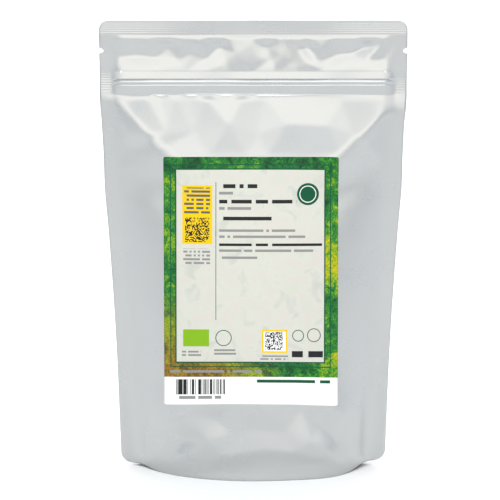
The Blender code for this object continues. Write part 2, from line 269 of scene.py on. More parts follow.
@dataclass(frozen=True)
class FilmForm:
    """The smooth shape that the load gives a wall, and the outline that its film is cut to."""

    height: float
    half_width: float
    base_depth: float
    film: float = 0.15 * MM
    slack: float = 0.02 * MM
    side_seal: float = 9.0 * MM
    top_seal: float = 8.6 * MM
    top_corner: float = 6.0 * MM
    base_corner: float = 7.0 * MM
    zip_height: float = 246.0 * MM
    zip_below: float = 8.4 * MM
    zip_above: float = 5.6 * MM
    zip_room: float = 1.45 * MM
    head_room: float = 0.15 * MM
    room_ramp: float = 3.5 * MM
    notch_height: float = 263.4 * MM
    notch_radius: float = 1.6 * MM
    notch_depth: float = 2.7 * MM
    gusset_middle: float = 10.0 * MM
    gusset_side: float = 47.0 * MM
    gusset_curve: float = 4.6
    foot_lean: float = 1.8 * MM
    foot_reach: float = 22.0 * MM
    fill_height: float = 165.0 * MM
    shoulder_top: float = 236.5 * MM
    shoulder_slope: float = 0.335
    shoulder_round: float = 4.0 * MM
    belly_narrowing: float = 2.2
    belly_fullness: float = 0.84
    slant_blend: float = 35.0 * MM
    head_fade: float = 20.0 * MM
    seal_fade: float = 3.0 * MM
    gusset_fade: float = 10.0 * MM
    beside_seal: float = 4 * MM
    bow_rounds: int = 12
    steepest: float = 0.8
    least_facet: float = 1.0 * MM
    root_reach: float = 11.0 * MM
    root_softness: float = 4.2 * MM
    lift_left: float = 1.6 * MM
    lift_right: float = 3.2 * MM
    lift_start: float = 60.0 * MM
    lift_height: float = 70.0 * MM
    flare_height: float = 80.0 * MM
    fine_step: float = 0.25 * MM

    @property
    def arc_half(self) -> float:
        """Half of the film between the side seals."""
        return self.half_width - self.side_seal

    def between_seals(self, s: Array) -> Array:
        """1 between the side seals and 0 in them, fading towards them."""
        return ease((self.arc_half - np.abs(s)) / self.beside_seal)

    def depth(self, z: float) -> float:
        """How far a wall's middle stands out at a height: a round belly cut off by a slanting shoulder."""
        if z >= self.shoulder_top:
            return 0.0
        up = max(z, 0.0)
        left = 1 - (up / self.zip_height) ** self.belly_narrowing
        belly = self.base_depth * left**self.belly_fullness
        belly -= self.foot_lean * (1 - math.exp(-up / self.foot_reach))
        slant = self.shoulder_slope * (self.shoulder_top - z)
        return float(min(soft_min(slant, belly, self.shoulder_round), slant))

    def seal_gap(self, z: float) -> float:
        """Half of the space between the walls in the side seals, where the folded gusset lies low down."""
        folded = self.film + 1.5 * self.slack
        share = 1 - ease((z - self.gusset_side - 2 * MM) / self.gusset_fade)
        return float(self.slack / 2 + folded * share)

    def room(self, z: float) -> float:
        """Half of the room that the zip and the empty head above it hold open."""
        high = self.zip_height + self.zip_above
        top = self.height - self.top_seal
        into_zip = ease((z - self.fill_height) / (self.shoulder_top - self.fill_height))
        into_head = ease((z - high) / self.head_fade)
        into_seal = ease((z - top + self.seal_fade) / self.seal_fade)
        part = self.zip_room * into_zip + (self.head_room - self.zip_room) * into_head
        return float(part * (1 - into_seal))

    def edge(self, z: float) -> float:
        """Half of the film's width at a height, with its round corners and tear notches."""
        for corner_z, radius in ((0.0, self.base_corner), (self.height, self.top_corner)):
            into = radius - abs(z - corner_z)
            if into > 0:
                return self.half_width - radius + math.sqrt(max(0.0, radius**2 - into**2))
        from_notch = abs(z - self.notch_height) / self.notch_radius
        if from_notch < 1:
            return self.half_width - self.notch_depth * math.sqrt(1 - from_notch**2)
        return self.half_width

    def seal_line(self, s: Array) -> Array:
        """Height of the curved seal between the gusset and a wall."""
        share = np.minimum(1.0, np.abs(s) / self.arc_half)
        return self.gusset_middle + (self.gusset_side - self.gusset_middle) * share**self.gusset_curve

    @functools.cache
    def half_section(self, z: float, flank: Flank) -> tuple[Array, Array, Array]:
        """Half of a wall's cross-section, from its middle to its side seal.

        Args:
            z: Height of the cross-section.
            flank: The crease and foot of that side.

        Returns:
            Places along the film, and the X and Y of each.
        """
        arc = self.arc_half
        s = np.arange(0.0, arc + self.root_reach, self.fine_step)
        t = np.minimum(s, arc)
        depth = max(self.depth(z), 1e-6)
        bow = 2 * depth / arc
        for _ in range(self.bow_rounds):
            bow *= depth / (arc * (1 - math.cos(bow)) / bow)
        lens = arc / bow * (np.cos(bow * t / arc) - math.cos(bow))
        facet = max(self.least_facet, depth / self.steepest, flank.spread * (flank.top - z))
        slanted = soft_min(np.full_like(t, depth), depth * (arc - t) / facet, 0.25 * depth + 1e-6)
        share = float(ease((z - self.fill_height) / self.slant_blend))
        y = lens + (slanted - slanted[-1] - lens) * share
        y = y + self.room(z) * ease((arc - t) / self.room_ramp)
        sigma = self.root_softness / self.fine_step
        near_root = np.exp(-(((s - arc) / self.root_reach) ** 4))
        y = y + (line_blurred(y, sigma) - y) * near_root
        slope = np.gradient(y, s)
        run = np.sqrt(np.clip(1 - slope**2, 0.05, 1.0))
        x = np.concatenate(([0.0], np.cumsum((run[1:] + run[:-1]) / 2 * np.diff(s))))
        return s, x, y

    def row(self, s: Array, z: float, side: Side) -> tuple[Array, Array]:
        """X and outward Y of a wall's inner face along one height.

        Both walls have the same X in their side seals, where they are welded to each other.

        Args:
            s: Places across the film, from the left side seal to the right one.
            z: The height.
            side: Which wall.

        Returns:
            X and Y of each place.
        """
        arc = self.arc_half
        x, y = np.empty_like(s), np.empty_like(s)
        for sign, flank, back_flank in zip((-1, 1), FLANKS[side], FLANKS[Side.BACK]):
            here = s < 0 if sign < 0 else s >= 0
            places, section_x, section_y = self.half_section(z, flank)
            seal_x = np.interp(arc, *self.half_section(z, back_flank)[:2])
            stretch = seal_x / np.interp(arc, places, section_x)
            reach = np.abs(s[here])
            inside = np.minimum(reach, arc)
            x[here] = sign * (np.interp(inside, places, section_x) * stretch + reach - inside)
            flare = flank.flare * np.sin(math.pi * (inside / arc) ** 1.5) ** 2
            y[here] = np.interp(reach, places, section_y) + flare * ease(1 - z / self.flare_height)
        return x, y + self.seal_gap(z)

    def lift(self, s: Array, z: Array) -> Array:
        """How far the pouch's lower corners stand off the ground."""
        most = np.where(s < 0, self.lift_left, self.lift_right)
        toward_side = ease((np.abs(s) - self.lift_start) / (self.arc_half - self.lift_start))
        return most * toward_side * ease(1 - z / self.lift_height)

    def trimmed(self, s: Array, z: float) -> Array:
        """Places across the film after its edge is cut: those in the side seals draw in with the edge."""
        beyond = np.maximum(0.0, np.abs(s) - self.arc_half) / self.side_seal
        inside = np.minimum(np.abs(s), self.arc_half)
        return np.sign(s) * (inside + beyond * (self.edge(z) - self.arc_half))


def new_object(name: str, data: bpy.types.ID) -> bpy.types.Object:
    """Makes an object of a mesh, lamp or camera and puts it into the scene."""
    obj = bpy.data.objects.new(name, data)
    bpy.context.scene.collection.objects.link(obj)
    return obj


def grid_normals(points: Array, facing: int) -> Array:
    """Unit normals of a grid of points, columns to +X and rows upwards, on the side that facing names."""
    across = np.gradient(points, axis=1)
    up = np.gradient(points, axis=0)
    normal = np.cross(across, up) * -facing
    return normal / np.maximum(np.linalg.norm(normal, axis=2, keepdims=True), 1e-12)


def sheet_object(name: str, points: Array, uv: Array, facing: int) -> bpy.types.Object:
    """Makes a one-sided sheet from a grid of points.

    Args:
        name: The piece's name.
        points: Grid of points, rows upwards and columns to +X.
        uv: Grid of places on the flat film, in metres.
        facing: -1 if the sheet faces -Y, and 1 if it faces +Y.

    Returns:
        The new object.
    """
    rows, columns = points.shape[:2]
    index = np.arange(rows * columns).reshape(rows, columns)
    cells = (index[:-1, :-1], index[:-1, 1:], index[1:, 1:], index[1:, :-1])
    quads = np.stack(cells, axis=-1).reshape(-1, 4)
    if facing > 0:
        quads = quads[:, ::-1]
    mesh = bpy.data.meshes.new(name)
    mesh.from_pydata(points.reshape(-1, 3).tolist(), [], quads.tolist())
    layer = mesh.uv_layers.new(name="film")
    flat = uv.reshape(-1, 2)[quads.reshape(-1)]
    layer.data.foreach_set("uv", flat.ravel())
    mesh.shade_smooth()
    return new_object(name, mesh)


def thicken(obj: bpy.types.Object, thickness: float) -> None:
    """Gives a sheet its thickness, all of it behind the side that it faces."""
    solid = obj.modifiers.new("film_thickness", "SOLIDIFY")
    solid.thickness = thickness
    solid.offset = -1.0
    solid.use_even_offset = False


class Graph:
    """A node tree with short calls for the nodes that the finishes use."""

    def __init__(self, tree: bpy.types.NodeTree) -> None:
        """Holds on to the tree."""
        self.tree = tree

    def node(self, kind: str, inputs: Inputs | None = None, **settings: object) -> bpy.types.Node:
        """Adds a node.

        Args:
            kind: The node's Blender type.
            inputs: Values or sockets for its inputs, by name or number.
            **settings: Values for its other properties.

        Returns:
            The new node.
        """
        made = self.tree.nodes.new(kind)
        for key, value in settings.items():
            setattr(made, key, value)
        for key, value in (inputs or {}).items():
            self.feed(made.inputs[key], value)
        return made

    def feed(self, socket: Socket, value: object) -> None:
        """Links a socket to another, or sets its value."""
        if isinstance(value, bpy.types.NodeSocket):
            self.tree.links.new(value, socket)
        else:
            socket.default_value = value

    def math(self, operation: str, a: object, b: object = 0.0, c: object = 0.0) -> Socket:
        """A Math node's result."""
        return self.node("ShaderNodeMath", {0: a, 1: b, 2: c}, operation=operation).outputs[0]

    def vector(self, operation: str, a: object, b: object = (0.0, 0.0, 0.0)) -> Socket:
        """A Vector Math node's result."""
        return self.node("ShaderNodeVectorMath", {0: a, 1: b}, operation=operation).outputs[0]

    def parts(self, value: object) -> bpy.types.NodeOutputs:
        """The X, Y and Z of a vector."""
        return self.node("ShaderNodeSeparateXYZ", {0: value}).outputs

    def slide(self, value: object, low: float, high: float, at_low: float, at_high: float) -> Socket:
        """A value that runs from at_low to at_high as the given one goes from low to high."""
        values = {0: value, 1: low, 2: high, 3: at_low, 4: at_high}
        return self.node("ShaderNodeMapRange", values).outputs[0]

    def bump(self, height: object, strength: float, distance: float) -> Socket:
        """A normal bent by a relief."""
        values = {"Height": height, "Strength": strength, "Distance": distance}
        return self.node("ShaderNodeBump", values).outputs[0]

    def film_place(self) -> Socket:
        """Place on the piece's own flat film."""
        return self.node("ShaderNodeUVMap", uv_map="film").outputs[0]

    def blend(self, share: object, a: object, b: object, mode: str = "MIX") -> Socket:
        """A colour between a and b."""
        made = self.node("ShaderNodeMix", data_type="RGBA", blend_type=mode)
        for socket, value in ((made.inputs[0], share), (made.inputs[6], a), (made.inputs[7], b)):
            self.feed(socket, value)
        return made.outputs[2]

    def ramp(self, share: object, stops: list[tuple[float, Colour]]) -> Socket:
        """A Color Ramp through the given colours."""
        made = self.node("ShaderNodeValToRGB", {0: share})
        elements = made.color_ramp.elements
        while len(elements) < len(stops):
            elements.new(0.5)
        for element, (place, colour) in zip(elements, stops):
            element.position = place
            element.color = (*colour, 1.0)
        return made.outputs[0]

    def noise(self, place: object, scale: object, detail: float = 2.0, **inputs: object) -> Socket:
        """A Noise Texture's factor."""
        values = {"Vector": place, "Scale": scale, "Detail": detail, **inputs}
        return self.node("ShaderNodeTexNoise", values).outputs[0]

    def chance(self, column: object, row: object, seed: object) -> Socket:
        """A random number from 0 to 1 for each cell of a grid."""
        cell = self.node("ShaderNodeCombineXYZ", {0: column, 1: row, 2: seed}).outputs[0]
        return self.node("ShaderNodeTexWhiteNoise", {"Vector": cell}, noise_dimensions="3D").outputs[0]

    def placed(self, group: bpy.types.NodeTree, inputs: dict[str, object]) -> bpy.types.Node:
        """A node group with the given values on its inputs."""
        return self.node("ShaderNodeGroup", inputs, node_tree=group)


def new_group(
    name: str, inputs: dict[str, object], outputs: dict[str, str]
) -> tuple[Graph, bpy.types.Node, bpy.types.Node]:
    """Starts a shader node group.

    Args:
        name: The group's name.
        inputs: Default value of each input: a number, or three for a vector.
        outputs: Socket type of each output.

    Returns:
        The group's graph, and its input and output nodes.
    """
    tree = bpy.data.node_groups.new(name, "ShaderNodeTree")
    for title, value in inputs.items():
        kind = "NodeSocketFloat" if isinstance(value, float) else "NodeSocketVector"
        tree.interface.new_socket(title, in_out="INPUT", socket_type=kind).default_value = value
    for title, kind in outputs.items():
        tree.interface.new_socket(title, in_out="OUTPUT", socket_type=kind)
    graph = Graph(tree)
    return graph, graph.node("NodeGroupInput"), graph.node("NodeGroupOutput")


class Effects:
    """Shader node groups that more than one finish uses."""

    GAP_SHARE = 0.3
    GAP_WIDTH = 0.5

    def __init__(self) -> None:
        """Builds the groups once."""
        self.grain = self._grain()
        self.box = self._box()
        self.ring = self._ring()
        self.dashes = self._dashes()
        self.modules = self._modules()

    @staticmethod
    def _grain() -> bpy.types.NodeTree:
        """Fine grain with broad clouds in it, for roughness and relief."""
        graph, given, result = new_group(
            "surface_grain",
            {"Place": (0.0, 0.0, 0.0), "Fine scale": 900.0, "Cloud scale": 25.0},
            {"Fine": "NodeSocketFloat", "Cloud": "NodeSocketFloat"},
        )
        place = given.outputs["Place"]
        graph.feed(result.inputs["Fine"], graph.noise(place, given.outputs["Fine scale"], 3.0))
        graph.feed(result.inputs["Cloud"], graph.noise(place, given.outputs["Cloud scale"], 4.0))
        return graph.tree

    @staticmethod
    def _box() -> bpy.types.NodeTree:
        """Mask of an upright rectangle on the print."""
        zero = (0.0, 0.0, 0.0)
        graph, given, result = new_group(
            "print_box", {"Place": zero, "Centre": zero, "Half size": zero}, {"Mask": "NodeSocketFloat"}
        )
        from_centre = graph.vector("SUBTRACT", given.outputs["Place"], given.outputs["Centre"])
        away = graph.vector("ABSOLUTE", from_centre)
        past = graph.parts(graph.vector("SUBTRACT", away, given.outputs["Half size"]))
        furthest = graph.math("MAXIMUM", past[0], past[1])
        graph.feed(result.inputs["Mask"], graph.math("LESS_THAN", furthest, 0.0))
        return graph.tree

    @staticmethod
    def _ring() -> bpy.types.NodeTree:
        """Mask of a ring or, with an inner radius of 0, a disc."""
        zero = (0.0, 0.0, 0.0)
        inputs = {"Place": zero, "Centre": zero, "Outer": 1.0, "Inner": 0.0}
        graph, given, result = new_group("print_ring", inputs, {"Mask": "NodeSocketFloat"})
        ends = {0: given.outputs["Place"], 1: given.outputs["Centre"]}
        radius = graph.node("ShaderNodeVectorMath", ends, operation="DISTANCE").outputs["Value"]
        within = graph.math("LESS_THAN", radius, given.outputs["Outer"])
        beyond = graph.math("GREATER_THAN", radius, given.outputs["Inner"])
        graph.feed(result.inputs["Mask"], graph.math("MULTIPLY", within, beyond))
        return graph.tree

    @staticmethod
    def _dashes() -> bpy.types.NodeTree:
        """Rows of plain dashes of random length, with gaps between them."""
        inputs = {"Place": (0.0, 0.0, 0.0), "Row pitch": 2.0, "Dash height": 1.0}
        inputs |= {"Cell width": 1.0, "Seed": 0.0}
        graph, given, result = new_group("rows_of_dashes", inputs, {"Mask": "NodeSocketFloat"})
        place = graph.parts(given.outputs["Place"])
        row_at = graph.math("DIVIDE", place[1], given.outputs["Row pitch"])
        row = graph.math("FLOOR", row_at)
        up = graph.math("MULTIPLY", graph.math("FRACT", row_at), given.outputs["Row pitch"])
        in_row = graph.math("LESS_THAN", up, given.outputs["Dash height"])
        cell_at = graph.math("DIVIDE", place[0], given.outputs["Cell width"])
        chance = graph.chance(graph.math("FLOOR", cell_at), row, given.outputs["Seed"])
        gap = graph.math("MULTIPLY", graph.math("LESS_THAN", chance, Effects.GAP_SHARE), Effects.GAP_WIDTH)
        inked = graph.math("GREATER_THAN", graph.math("FRACT", cell_at), gap)
        graph.feed(result.inputs["Mask"], graph.math("MULTIPLY", inked, in_row))
        return graph.tree

    @staticmethod
    def _modules() -> bpy.types.NodeTree:
        """Random square modules, or with a very tall module random bars."""
        graph, given, result = new_group(
            "random_modules",
            {"Place": (0.0, 0.0, 0.0), "Width": 0.5, "Height": 0.5, "Ink share": 0.5, "Seed": 0.0},
            {"Mask": "NodeSocketFloat"},
        )
        place = graph.parts(given.outputs["Place"])
        column = graph.math("FLOOR", graph.math("DIVIDE", place[0], given.outputs["Width"]))
        row = graph.math("FLOOR", graph.math("DIVIDE", place[1], given.outputs["Height"]))
        chance = graph.chance(column, row, given.outputs["Seed"])
        graph.feed(result.inputs["Mask"], graph.math("LESS_THAN", chance, given.outputs["Ink share"]))
        return graph.tree


def new_material(name: str) -> tuple[bpy.types.Material, Graph, bpy.types.Node]:
    """Starts a material and returns it with its graph and its Principled shader."""
    material = bpy.data.materials.new(name)
    material.use_nodes = True
    return material, Graph(material.node_tree), material.node_tree.nodes["Principled BSDF"]


@dataclass(frozen=True)
class FoilFinish:
    """Matte silver laminate: metal seen through a satin top film."""

    name: str = "foil_film"
    bright: Colour = (0.49, 0.495, 0.49)
    dull: Colour = (0.445, 0.455, 0.46)
    roughness: float = 0.28
    roughness_spread: float = 0.10
    grain_height: float = 0.005
    rib_pitch: float = 1.1 * MM
    rib_height: float = 0.02

    def build(self, effects: Effects, form: FilmForm) -> bpy.types.Material:
        """Makes the material.

        Args:
            effects: The shared node groups.
            form: The film's shape, for where its side seals lie.

        Returns:
            The finished material.
        """
        material, graph, shader = new_material(self.name)
        place = graph.node("ShaderNodeTexCoord").outputs["Object"]
        grain = graph.placed(effects.grain, {"Place": place})
        colour = graph.blend(grain.outputs["Cloud"], (*self.dull, 1), (*self.bright, 1))
        graph.feed(shader.inputs["Base Color"], colour)
        shader.inputs["Metallic"].default_value = 1.0
        least = self.roughness - self.roughness_spread / 2
        rough = graph.math("MULTIPLY_ADD", grain.outputs["Cloud"], self.roughness_spread, least)
        graph.feed(shader.inputs["Roughness"], rough)
        across = graph.parts(graph.film_place())[0]
        in_seal = graph.math("GREATER_THAN", graph.math("ABSOLUTE", across), form.arc_half)
        wave = graph.math("SINE", graph.math("MULTIPLY", across, 2 * math.pi / self.rib_pitch))
        ribs = graph.math("MULTIPLY", graph.math("MULTIPLY", wave, in_seal), self.rib_height)
        fine = graph.math("MULTIPLY", grain.outputs["Fine"], self.grain_height)
        relief = graph.math("ADD", fine, ribs)
        graph.feed(shader.inputs["Normal"], graph.bump(relief, 0.25, 1.0 * MM))
        return material


@dataclass(frozen=True)
class ZipPlastic:
    """Milky polyethylene of the zip profiles."""

    name: str = "zip_plastic"
    colour: Colour = (0.80, 0.82, 0.80)

    def build(self, effects: Effects) -> bpy.types.Material:
        """Makes the material from the shared node groups."""
        material, graph, shader = new_material(self.name)
        place = graph.node("ShaderNodeTexCoord").outputs["Object"]
        grain = graph.placed(effects.grain, {"Place": place, "Cloud scale": 60.0})
        tint = tuple(0.93 * part for part in self.colour)
        colour = graph.blend(grain.outputs["Cloud"], (*tint, 1), (*self.colour, 1))
        graph.feed(shader.inputs["Base Color"], colour)
        rough = graph.math("MULTIPLY_ADD", grain.outputs["Fine"], 0.15, 0.28)
        graph.feed(shader.inputs["Roughness"], rough)
        shader.inputs["Subsurface Weight"].default_value = 0.2
        shader.inputs["Subsurface Scale"].default_value = 1.0 * MM
        return material


@dataclass(frozen=True)
class PodHusk:
    """Dry, ribbed husk of a green cardamom pod."""

    name: str = "cardamom_pods"
    green: Colour = (0.30, 0.34, 0.12)
    straw: Colour = (0.52, 0.46, 0.25)

    def build(self, effects: Effects) -> bpy.types.Material:
        """Makes the material from the shared node groups."""
        material, graph, shader = new_material(self.name)
        place = graph.node("ShaderNodeTexCoord").outputs["Object"]
        grain = graph.placed(effects.grain, {"Place": place, "Fine scale": 1500.0, "Cloud scale": 90.0})
        share = graph.math("MULTIPLY_ADD", grain.outputs["Cloud"], 1.6, -0.3)
        graph.feed(shader.inputs["Base Color"], graph.blend(share, (*self.green, 1), (*self.straw, 1)))
        rough = graph.math("MULTIPLY_ADD", grain.outputs["Fine"], 0.2, 0.6)
        graph.feed(shader.inputs["Roughness"], rough)
        graph.feed(shader.inputs["Normal"], graph.bump(grain.outputs["Fine"], 0.4, 0.3 * MM))
        return material


class Print(Enum):
    """Kinds of printed block on the label."""

    FLAT = "one plain colour"
    PAPER = "the marbled paper of the panel"
    DASHES = "rows of plain dashes where small print would stand"
    CODE = "random square modules"
    BARS = "random bars"
    RING = "a ring or disc"


@dataclass(frozen=True)
class Block:
    """One printed block: its kind, colour and place, in millimetres from the label's lower left."""

    kind: Print
    colour: Colour
    left: float
    bottom: float
    right: float
    top: float
    pitch: float = 0.0
    mark: float = 1.0


BLACK = (0.012, 0.012, 0.013)
SOFT_BLACK = (0.10, 0.10, 0.095)
GREY = (0.24, 0.24, 0.23)
DEEP_GREEN = (0.0, 0.075, 0.03)
LIME = (0.20, 0.40, 0.008)
YELLOW = (0.75, 0.50, 0.0)
WHITE = (0.80, 0.80, 0.79)


def frame_lines(left: float, bottom: float, right: float, top: float, line: float) -> list[Block]:
    """Four thin blocks that frame a rectangle, in deep green.

    Args:
        left: The frame's left edge, in millimetres.
        bottom: Its lower edge.
        right: Its right edge.
        top: Its upper edge.
        line: Width of the line.

    Returns:
        The four blocks.
    """
    corners = (
        (left, bottom, right, bottom + line),
        (left, top - line, right, top),
        (left, bottom, left + line, top),
        (right - line, bottom, right, top),
    )
    return [Block(Print.FLAT, DEEP_GREEN, *corner) for corner in corners]


def row_of_dashes(left: float, middle: float, right: float, size: float, bold: bool = False) -> Block:
    """One row of dashes.

    Args:
        left: Where the row starts, in millimetres.
        middle: Height of the row's middle.
        right: Where it ends.
        size: Height of the dashes.
        bold: Whether the dashes are black and long.

    Returns:
        The row's block.
    """
    colour = BLACK if bold else GREY
    cell = 5.0 if bold else 3.4
    return Block(Print.DASHES, colour, left, middle - size / 2, right, middle + size / 2, 2 * size, cell)


def label_blocks() -> list[Block]:
    """The label's printed blocks, each over the ones before it."""
    blocks = frame_lines(4.0, 23.2, 103.3, 147.4, 0.65)
    blocks += frame_lines(7.2, 25.9, 99.8, 144.9, 0.8)
    blocks += [
        Block(Print.PAPER, WHITE, 8.0, 26.7, 99.0, 144.1),
        Block(Print.FLAT, YELLOW, 11.6, 99.1, 30.2, 134.6),
        Block(Print.DASHES, SOFT_BLACK, 12.8, 117.6, 28.8, 133.4, 2.52, 3.0),
        Block(Print.CODE, BLACK, 13.4, 100.3, 28.4, 115.1, mark=0.624),
        Block(Print.DASHES, GREY, 12.2, 86.9, 28.8, 96.3, 2.3, 2.6),
        Block(Print.FLAT, DEEP_GREEN, 32.2, 52.5, 32.6, 136.8),
        row_of_dashes(34.4, 134.2, 57.8, 2.4, bold=True),
        row_of_dashes(34.4, 130.0, 42.9, 1.7),
        row_of_dashes(34.4, 124.9, 82.0, 2.2, bold=True),
        row_of_dashes(34.4, 120.8, 54.0, 1.7),
        row_of_dashes(34.4, 114.7, 66.6, 2.2, bold=True),
        row_of_dashes(34.4, 107.4, 81.1, 1.5),
        row_of_dashes(34.4, 103.7, 87.3, 1.5),
        row_of_dashes(34.4, 98.8, 97.7, 1.6, bold=True),
        row_of_dashes(34.4, 95.2, 94.0, 1.5),
        row_of_dashes(34.4, 90.9, 57.8, 1.5),
        Block(Print.RING, DEEP_GREEN, 82.2, 122.4, 95.7, 136.4, mark=7.0),
        Block(Print.RING, WHITE, 83.7, 124.0, 94.1, 134.8, mark=0.5),
        Block(Print.FLAT, LIME, 12.1, 36.2, 28.2, 46.7),
        Block(Print.DASHES, GREY, 11.3, 30.2, 23.3, 34.4, 2.1, 2.6),
        Block(Print.RING, DEEP_GREEN, 32.1, 36.2, 42.1, 46.6, mark=0.5),
        Block(Print.DASHES, GREY, 31.3, 31.0, 44.8, 35.0, 2.2, 2.6),
        Block(Print.FLAT, YELLOW, 60.6, 32.2, 76.3, 46.6),
        Block(Print.FLAT, WHITE, 61.7, 33.3, 75.3, 45.5),
        Block(Print.CODE, BLACK, 62.7, 34.2, 73.4, 45.2, mark=0.53),
        Block(Print.DASHES, GREY, 59.6, 27.9, 76.8, 31.2, 1.8, 2.6),
        Block(Print.RING, DEEP_GREEN, 79.3, 39.2, 86.6, 46.8, mark=0.5),
        Block(Print.RING, DEEP_GREEN, 88.5, 38.9, 97.0, 47.7, mark=0.5),
        Block(Print.DASHES, BLACK, 79.1, 29.6, 98.4, 36.2, 7.0, 6.8),
        row_of_dashes(3.6, 20.6, 60.8, 1.5),
        Block(Print.FLAT, WHITE, 0.0, 0.0, 107.8, 17.2),
        Block(Print.BARS, BLACK, 7.1, 6.3, 37.9, 15.7, mark=0.36),
        row_of_dashes(9.6, 4.4, 35.6, 1.9),
        Block(Print.DASHES, DEEP_GREEN, 57.6, 13.6, 102.9, 15.5, 4.0, 6.0),
    ]
    return blocks


@dataclass(frozen=True)
class LabelInk:
    """Printed paper label: a mottled painted border round a pale panel, and a white strip below."""

    DASH_SHARE = 0.55
    BAR_HEIGHT = 1000.0

    name: str = "label_stock"
    roughness: float = 0.42
    roughness_spread: float = 0.12
    shine: float = 0.2

    def build(self, effects: Effects) -> bpy.types.Material:
        """Makes the material, its printed blocks one over the other.

        Args:
            effects: The shared node groups.

        Returns:
            The finished material.
        """
        material, graph, shader = new_material(self.name)
        shader.inputs["Specular IOR Level"].default_value = self.shine
        place = graph.vector("MULTIPLY", graph.film_place(), (1 / MM, 1 / MM, 1 / MM))
        colour = self._painted(graph, place)
        for number, block in enumerate(label_blocks()):
            ink = self._marbled(graph, place) if block.kind is Print.PAPER else (*block.colour, 1.0)
            colour = graph.blend(self._mask(graph, effects, place, block, number), colour, ink)
        graph.feed(shader.inputs["Base Color"], colour)
        soft = graph.noise(place, 0.35, 3.0)
        least = self.roughness - self.roughness_spread / 2
        rough = graph.math("MULTIPLY_ADD", soft, self.roughness_spread, least)
        graph.feed(shader.inputs["Roughness"], rough)
        fibre = graph.noise(place, 3.0, 2.0)
        graph.feed(shader.inputs["Normal"], graph.bump(fibre, 0.05, 0.1 * MM))
        return material

    @staticmethod
    def _painted(graph: Graph, place: Socket) -> Socket:
        """The mottled border colour: greens, with yellow towards the right and brown low on the left."""
        drift = graph.noise(place, 0.028, 2.0, Distortion=0.6)
        blot = graph.noise(place, 0.16, 5.0, Distortion=1.2, Roughness=0.7)
        speck = graph.noise(graph.vector("MULTIPLY", place, (1.0, 0.55, 1.0)), 1.3, 3.0, Roughness=0.8)
        mixed = graph.math("ADD", graph.math("MULTIPLY", drift, 0.45), graph.math("MULTIPLY", blot, 0.42))
        mixed = graph.math("ADD", mixed, graph.math("MULTIPLY", speck, 0.25))
        across, up, _ = graph.parts(place)
        to_right = graph.slide(across, 80.0, 108.0, 0.0, 0.055)
        to_top = graph.slide(up, 138.0, 150.0, 0.0, -0.045)
        mixed = graph.math("ADD", mixed, graph.math("ADD", to_right, to_top))
        greens = [
            (0.40, (0.004, 0.022, 0.008)),
            (0.47, (0.004, 0.050, 0.014)),
            (0.53, (0.008, 0.125, 0.022)),
            (0.58, (0.030, 0.210, 0.018)),
            (0.63, (0.190, 0.330, 0.006)),
            (0.68, (0.470, 0.400, 0.004)),
        ]
        browns = [
            (0.44, (0.030, 0.040, 0.006)),
            (0.50, (0.110, 0.060, 0.005)),
            (0.57, (0.330, 0.120, 0.005)),
            (0.63, (0.300, 0.250, 0.006)),
            (0.68, (0.050, 0.170, 0.014)),
        ]
        low = graph.slide(up, 22.0, 70.0, 1.0, 0.0)
        left = graph.slide(across, 30.0, 75.0, 1.0, 0.0)
        burnt = graph.math("MULTIPLY", low, graph.math("MULTIPLY", left, 0.8))
        paint = graph.blend(burnt, graph.ramp(mixed, greens), graph.ramp(mixed, browns))
        light = graph.math("MULTIPLY_ADD", speck, 1.3, 0.35)
        shade = graph.node("ShaderNodeCombineColor", {0: light, 1: light, 2: light}).outputs[0]
        return graph.blend(1.0, paint, shade, "MULTIPLY")

    @staticmethod
    def _marbled(graph: Graph, place: Socket) -> Socket:
        """The panel's pale paper, softly marbled."""
        cloud = graph.noise(place, 0.09, 4.0, Distortion=0.8)
        stops = [
            (0.30, (0.50, 0.50, 0.46)),
            (0.46, (0.565, 0.57, 0.505)),
            (0.58, (0.575, 0.545, 0.50)),
            (0.75, (0.52, 0.575, 0.48)),
        ]
        return graph.ramp(cloud, stops)

    @staticmethod
    def _mask(graph: Graph, effects: Effects, place: Socket, block: Block, seed: int) -> Socket:
        """Where a block's ink lies.

        Args:
            graph: The material's graph.
            effects: The shared node groups.
            place: Place on the label, in millimetres.
            block: The block.
            seed: Seed of its random marks.

        Returns:
            1 where there is ink and 0 where there is none.
        """
        centre = ((block.left + block.right) / 2, (block.bottom + block.top) / 2, 0.0)
        half = ((block.right - block.left) / 2, (block.top - block.bottom) / 2, 1.0)
        if block.kind is Print.RING:
            radii = {"Outer": half[0], "Inner": half[0] - block.mark}
            return graph.placed(effects.ring, {"Place": place, "Centre": centre, **radii}).outputs[0]
        mask = graph.placed(effects.box, {"Place": place, "Centre": centre, "Half size": half}).outputs[0]
        corner = graph.vector("SUBTRACT", place, (block.left, block.bottom, 0.0))
        given = {"Place": corner, "Seed": float(seed)}
        if block.kind is Print.DASHES:
            dash = LabelInk.DASH_SHARE * block.pitch
            size = {"Row pitch": block.pitch, "Dash height": dash, "Cell width": block.mark}
            ink = graph.placed(effects.dashes, {**given, **size})
        elif block.kind in (Print.CODE, Print.BARS):
            tall = block.mark if block.kind is Print.CODE else LabelInk.BAR_HEIGHT
            ink = graph.placed(effects.modules, {**given, "Width": block.mark, "Height": tall})
        else:
            return mask
        return graph.math("MULTIPLY", mask, ink.outputs[0])


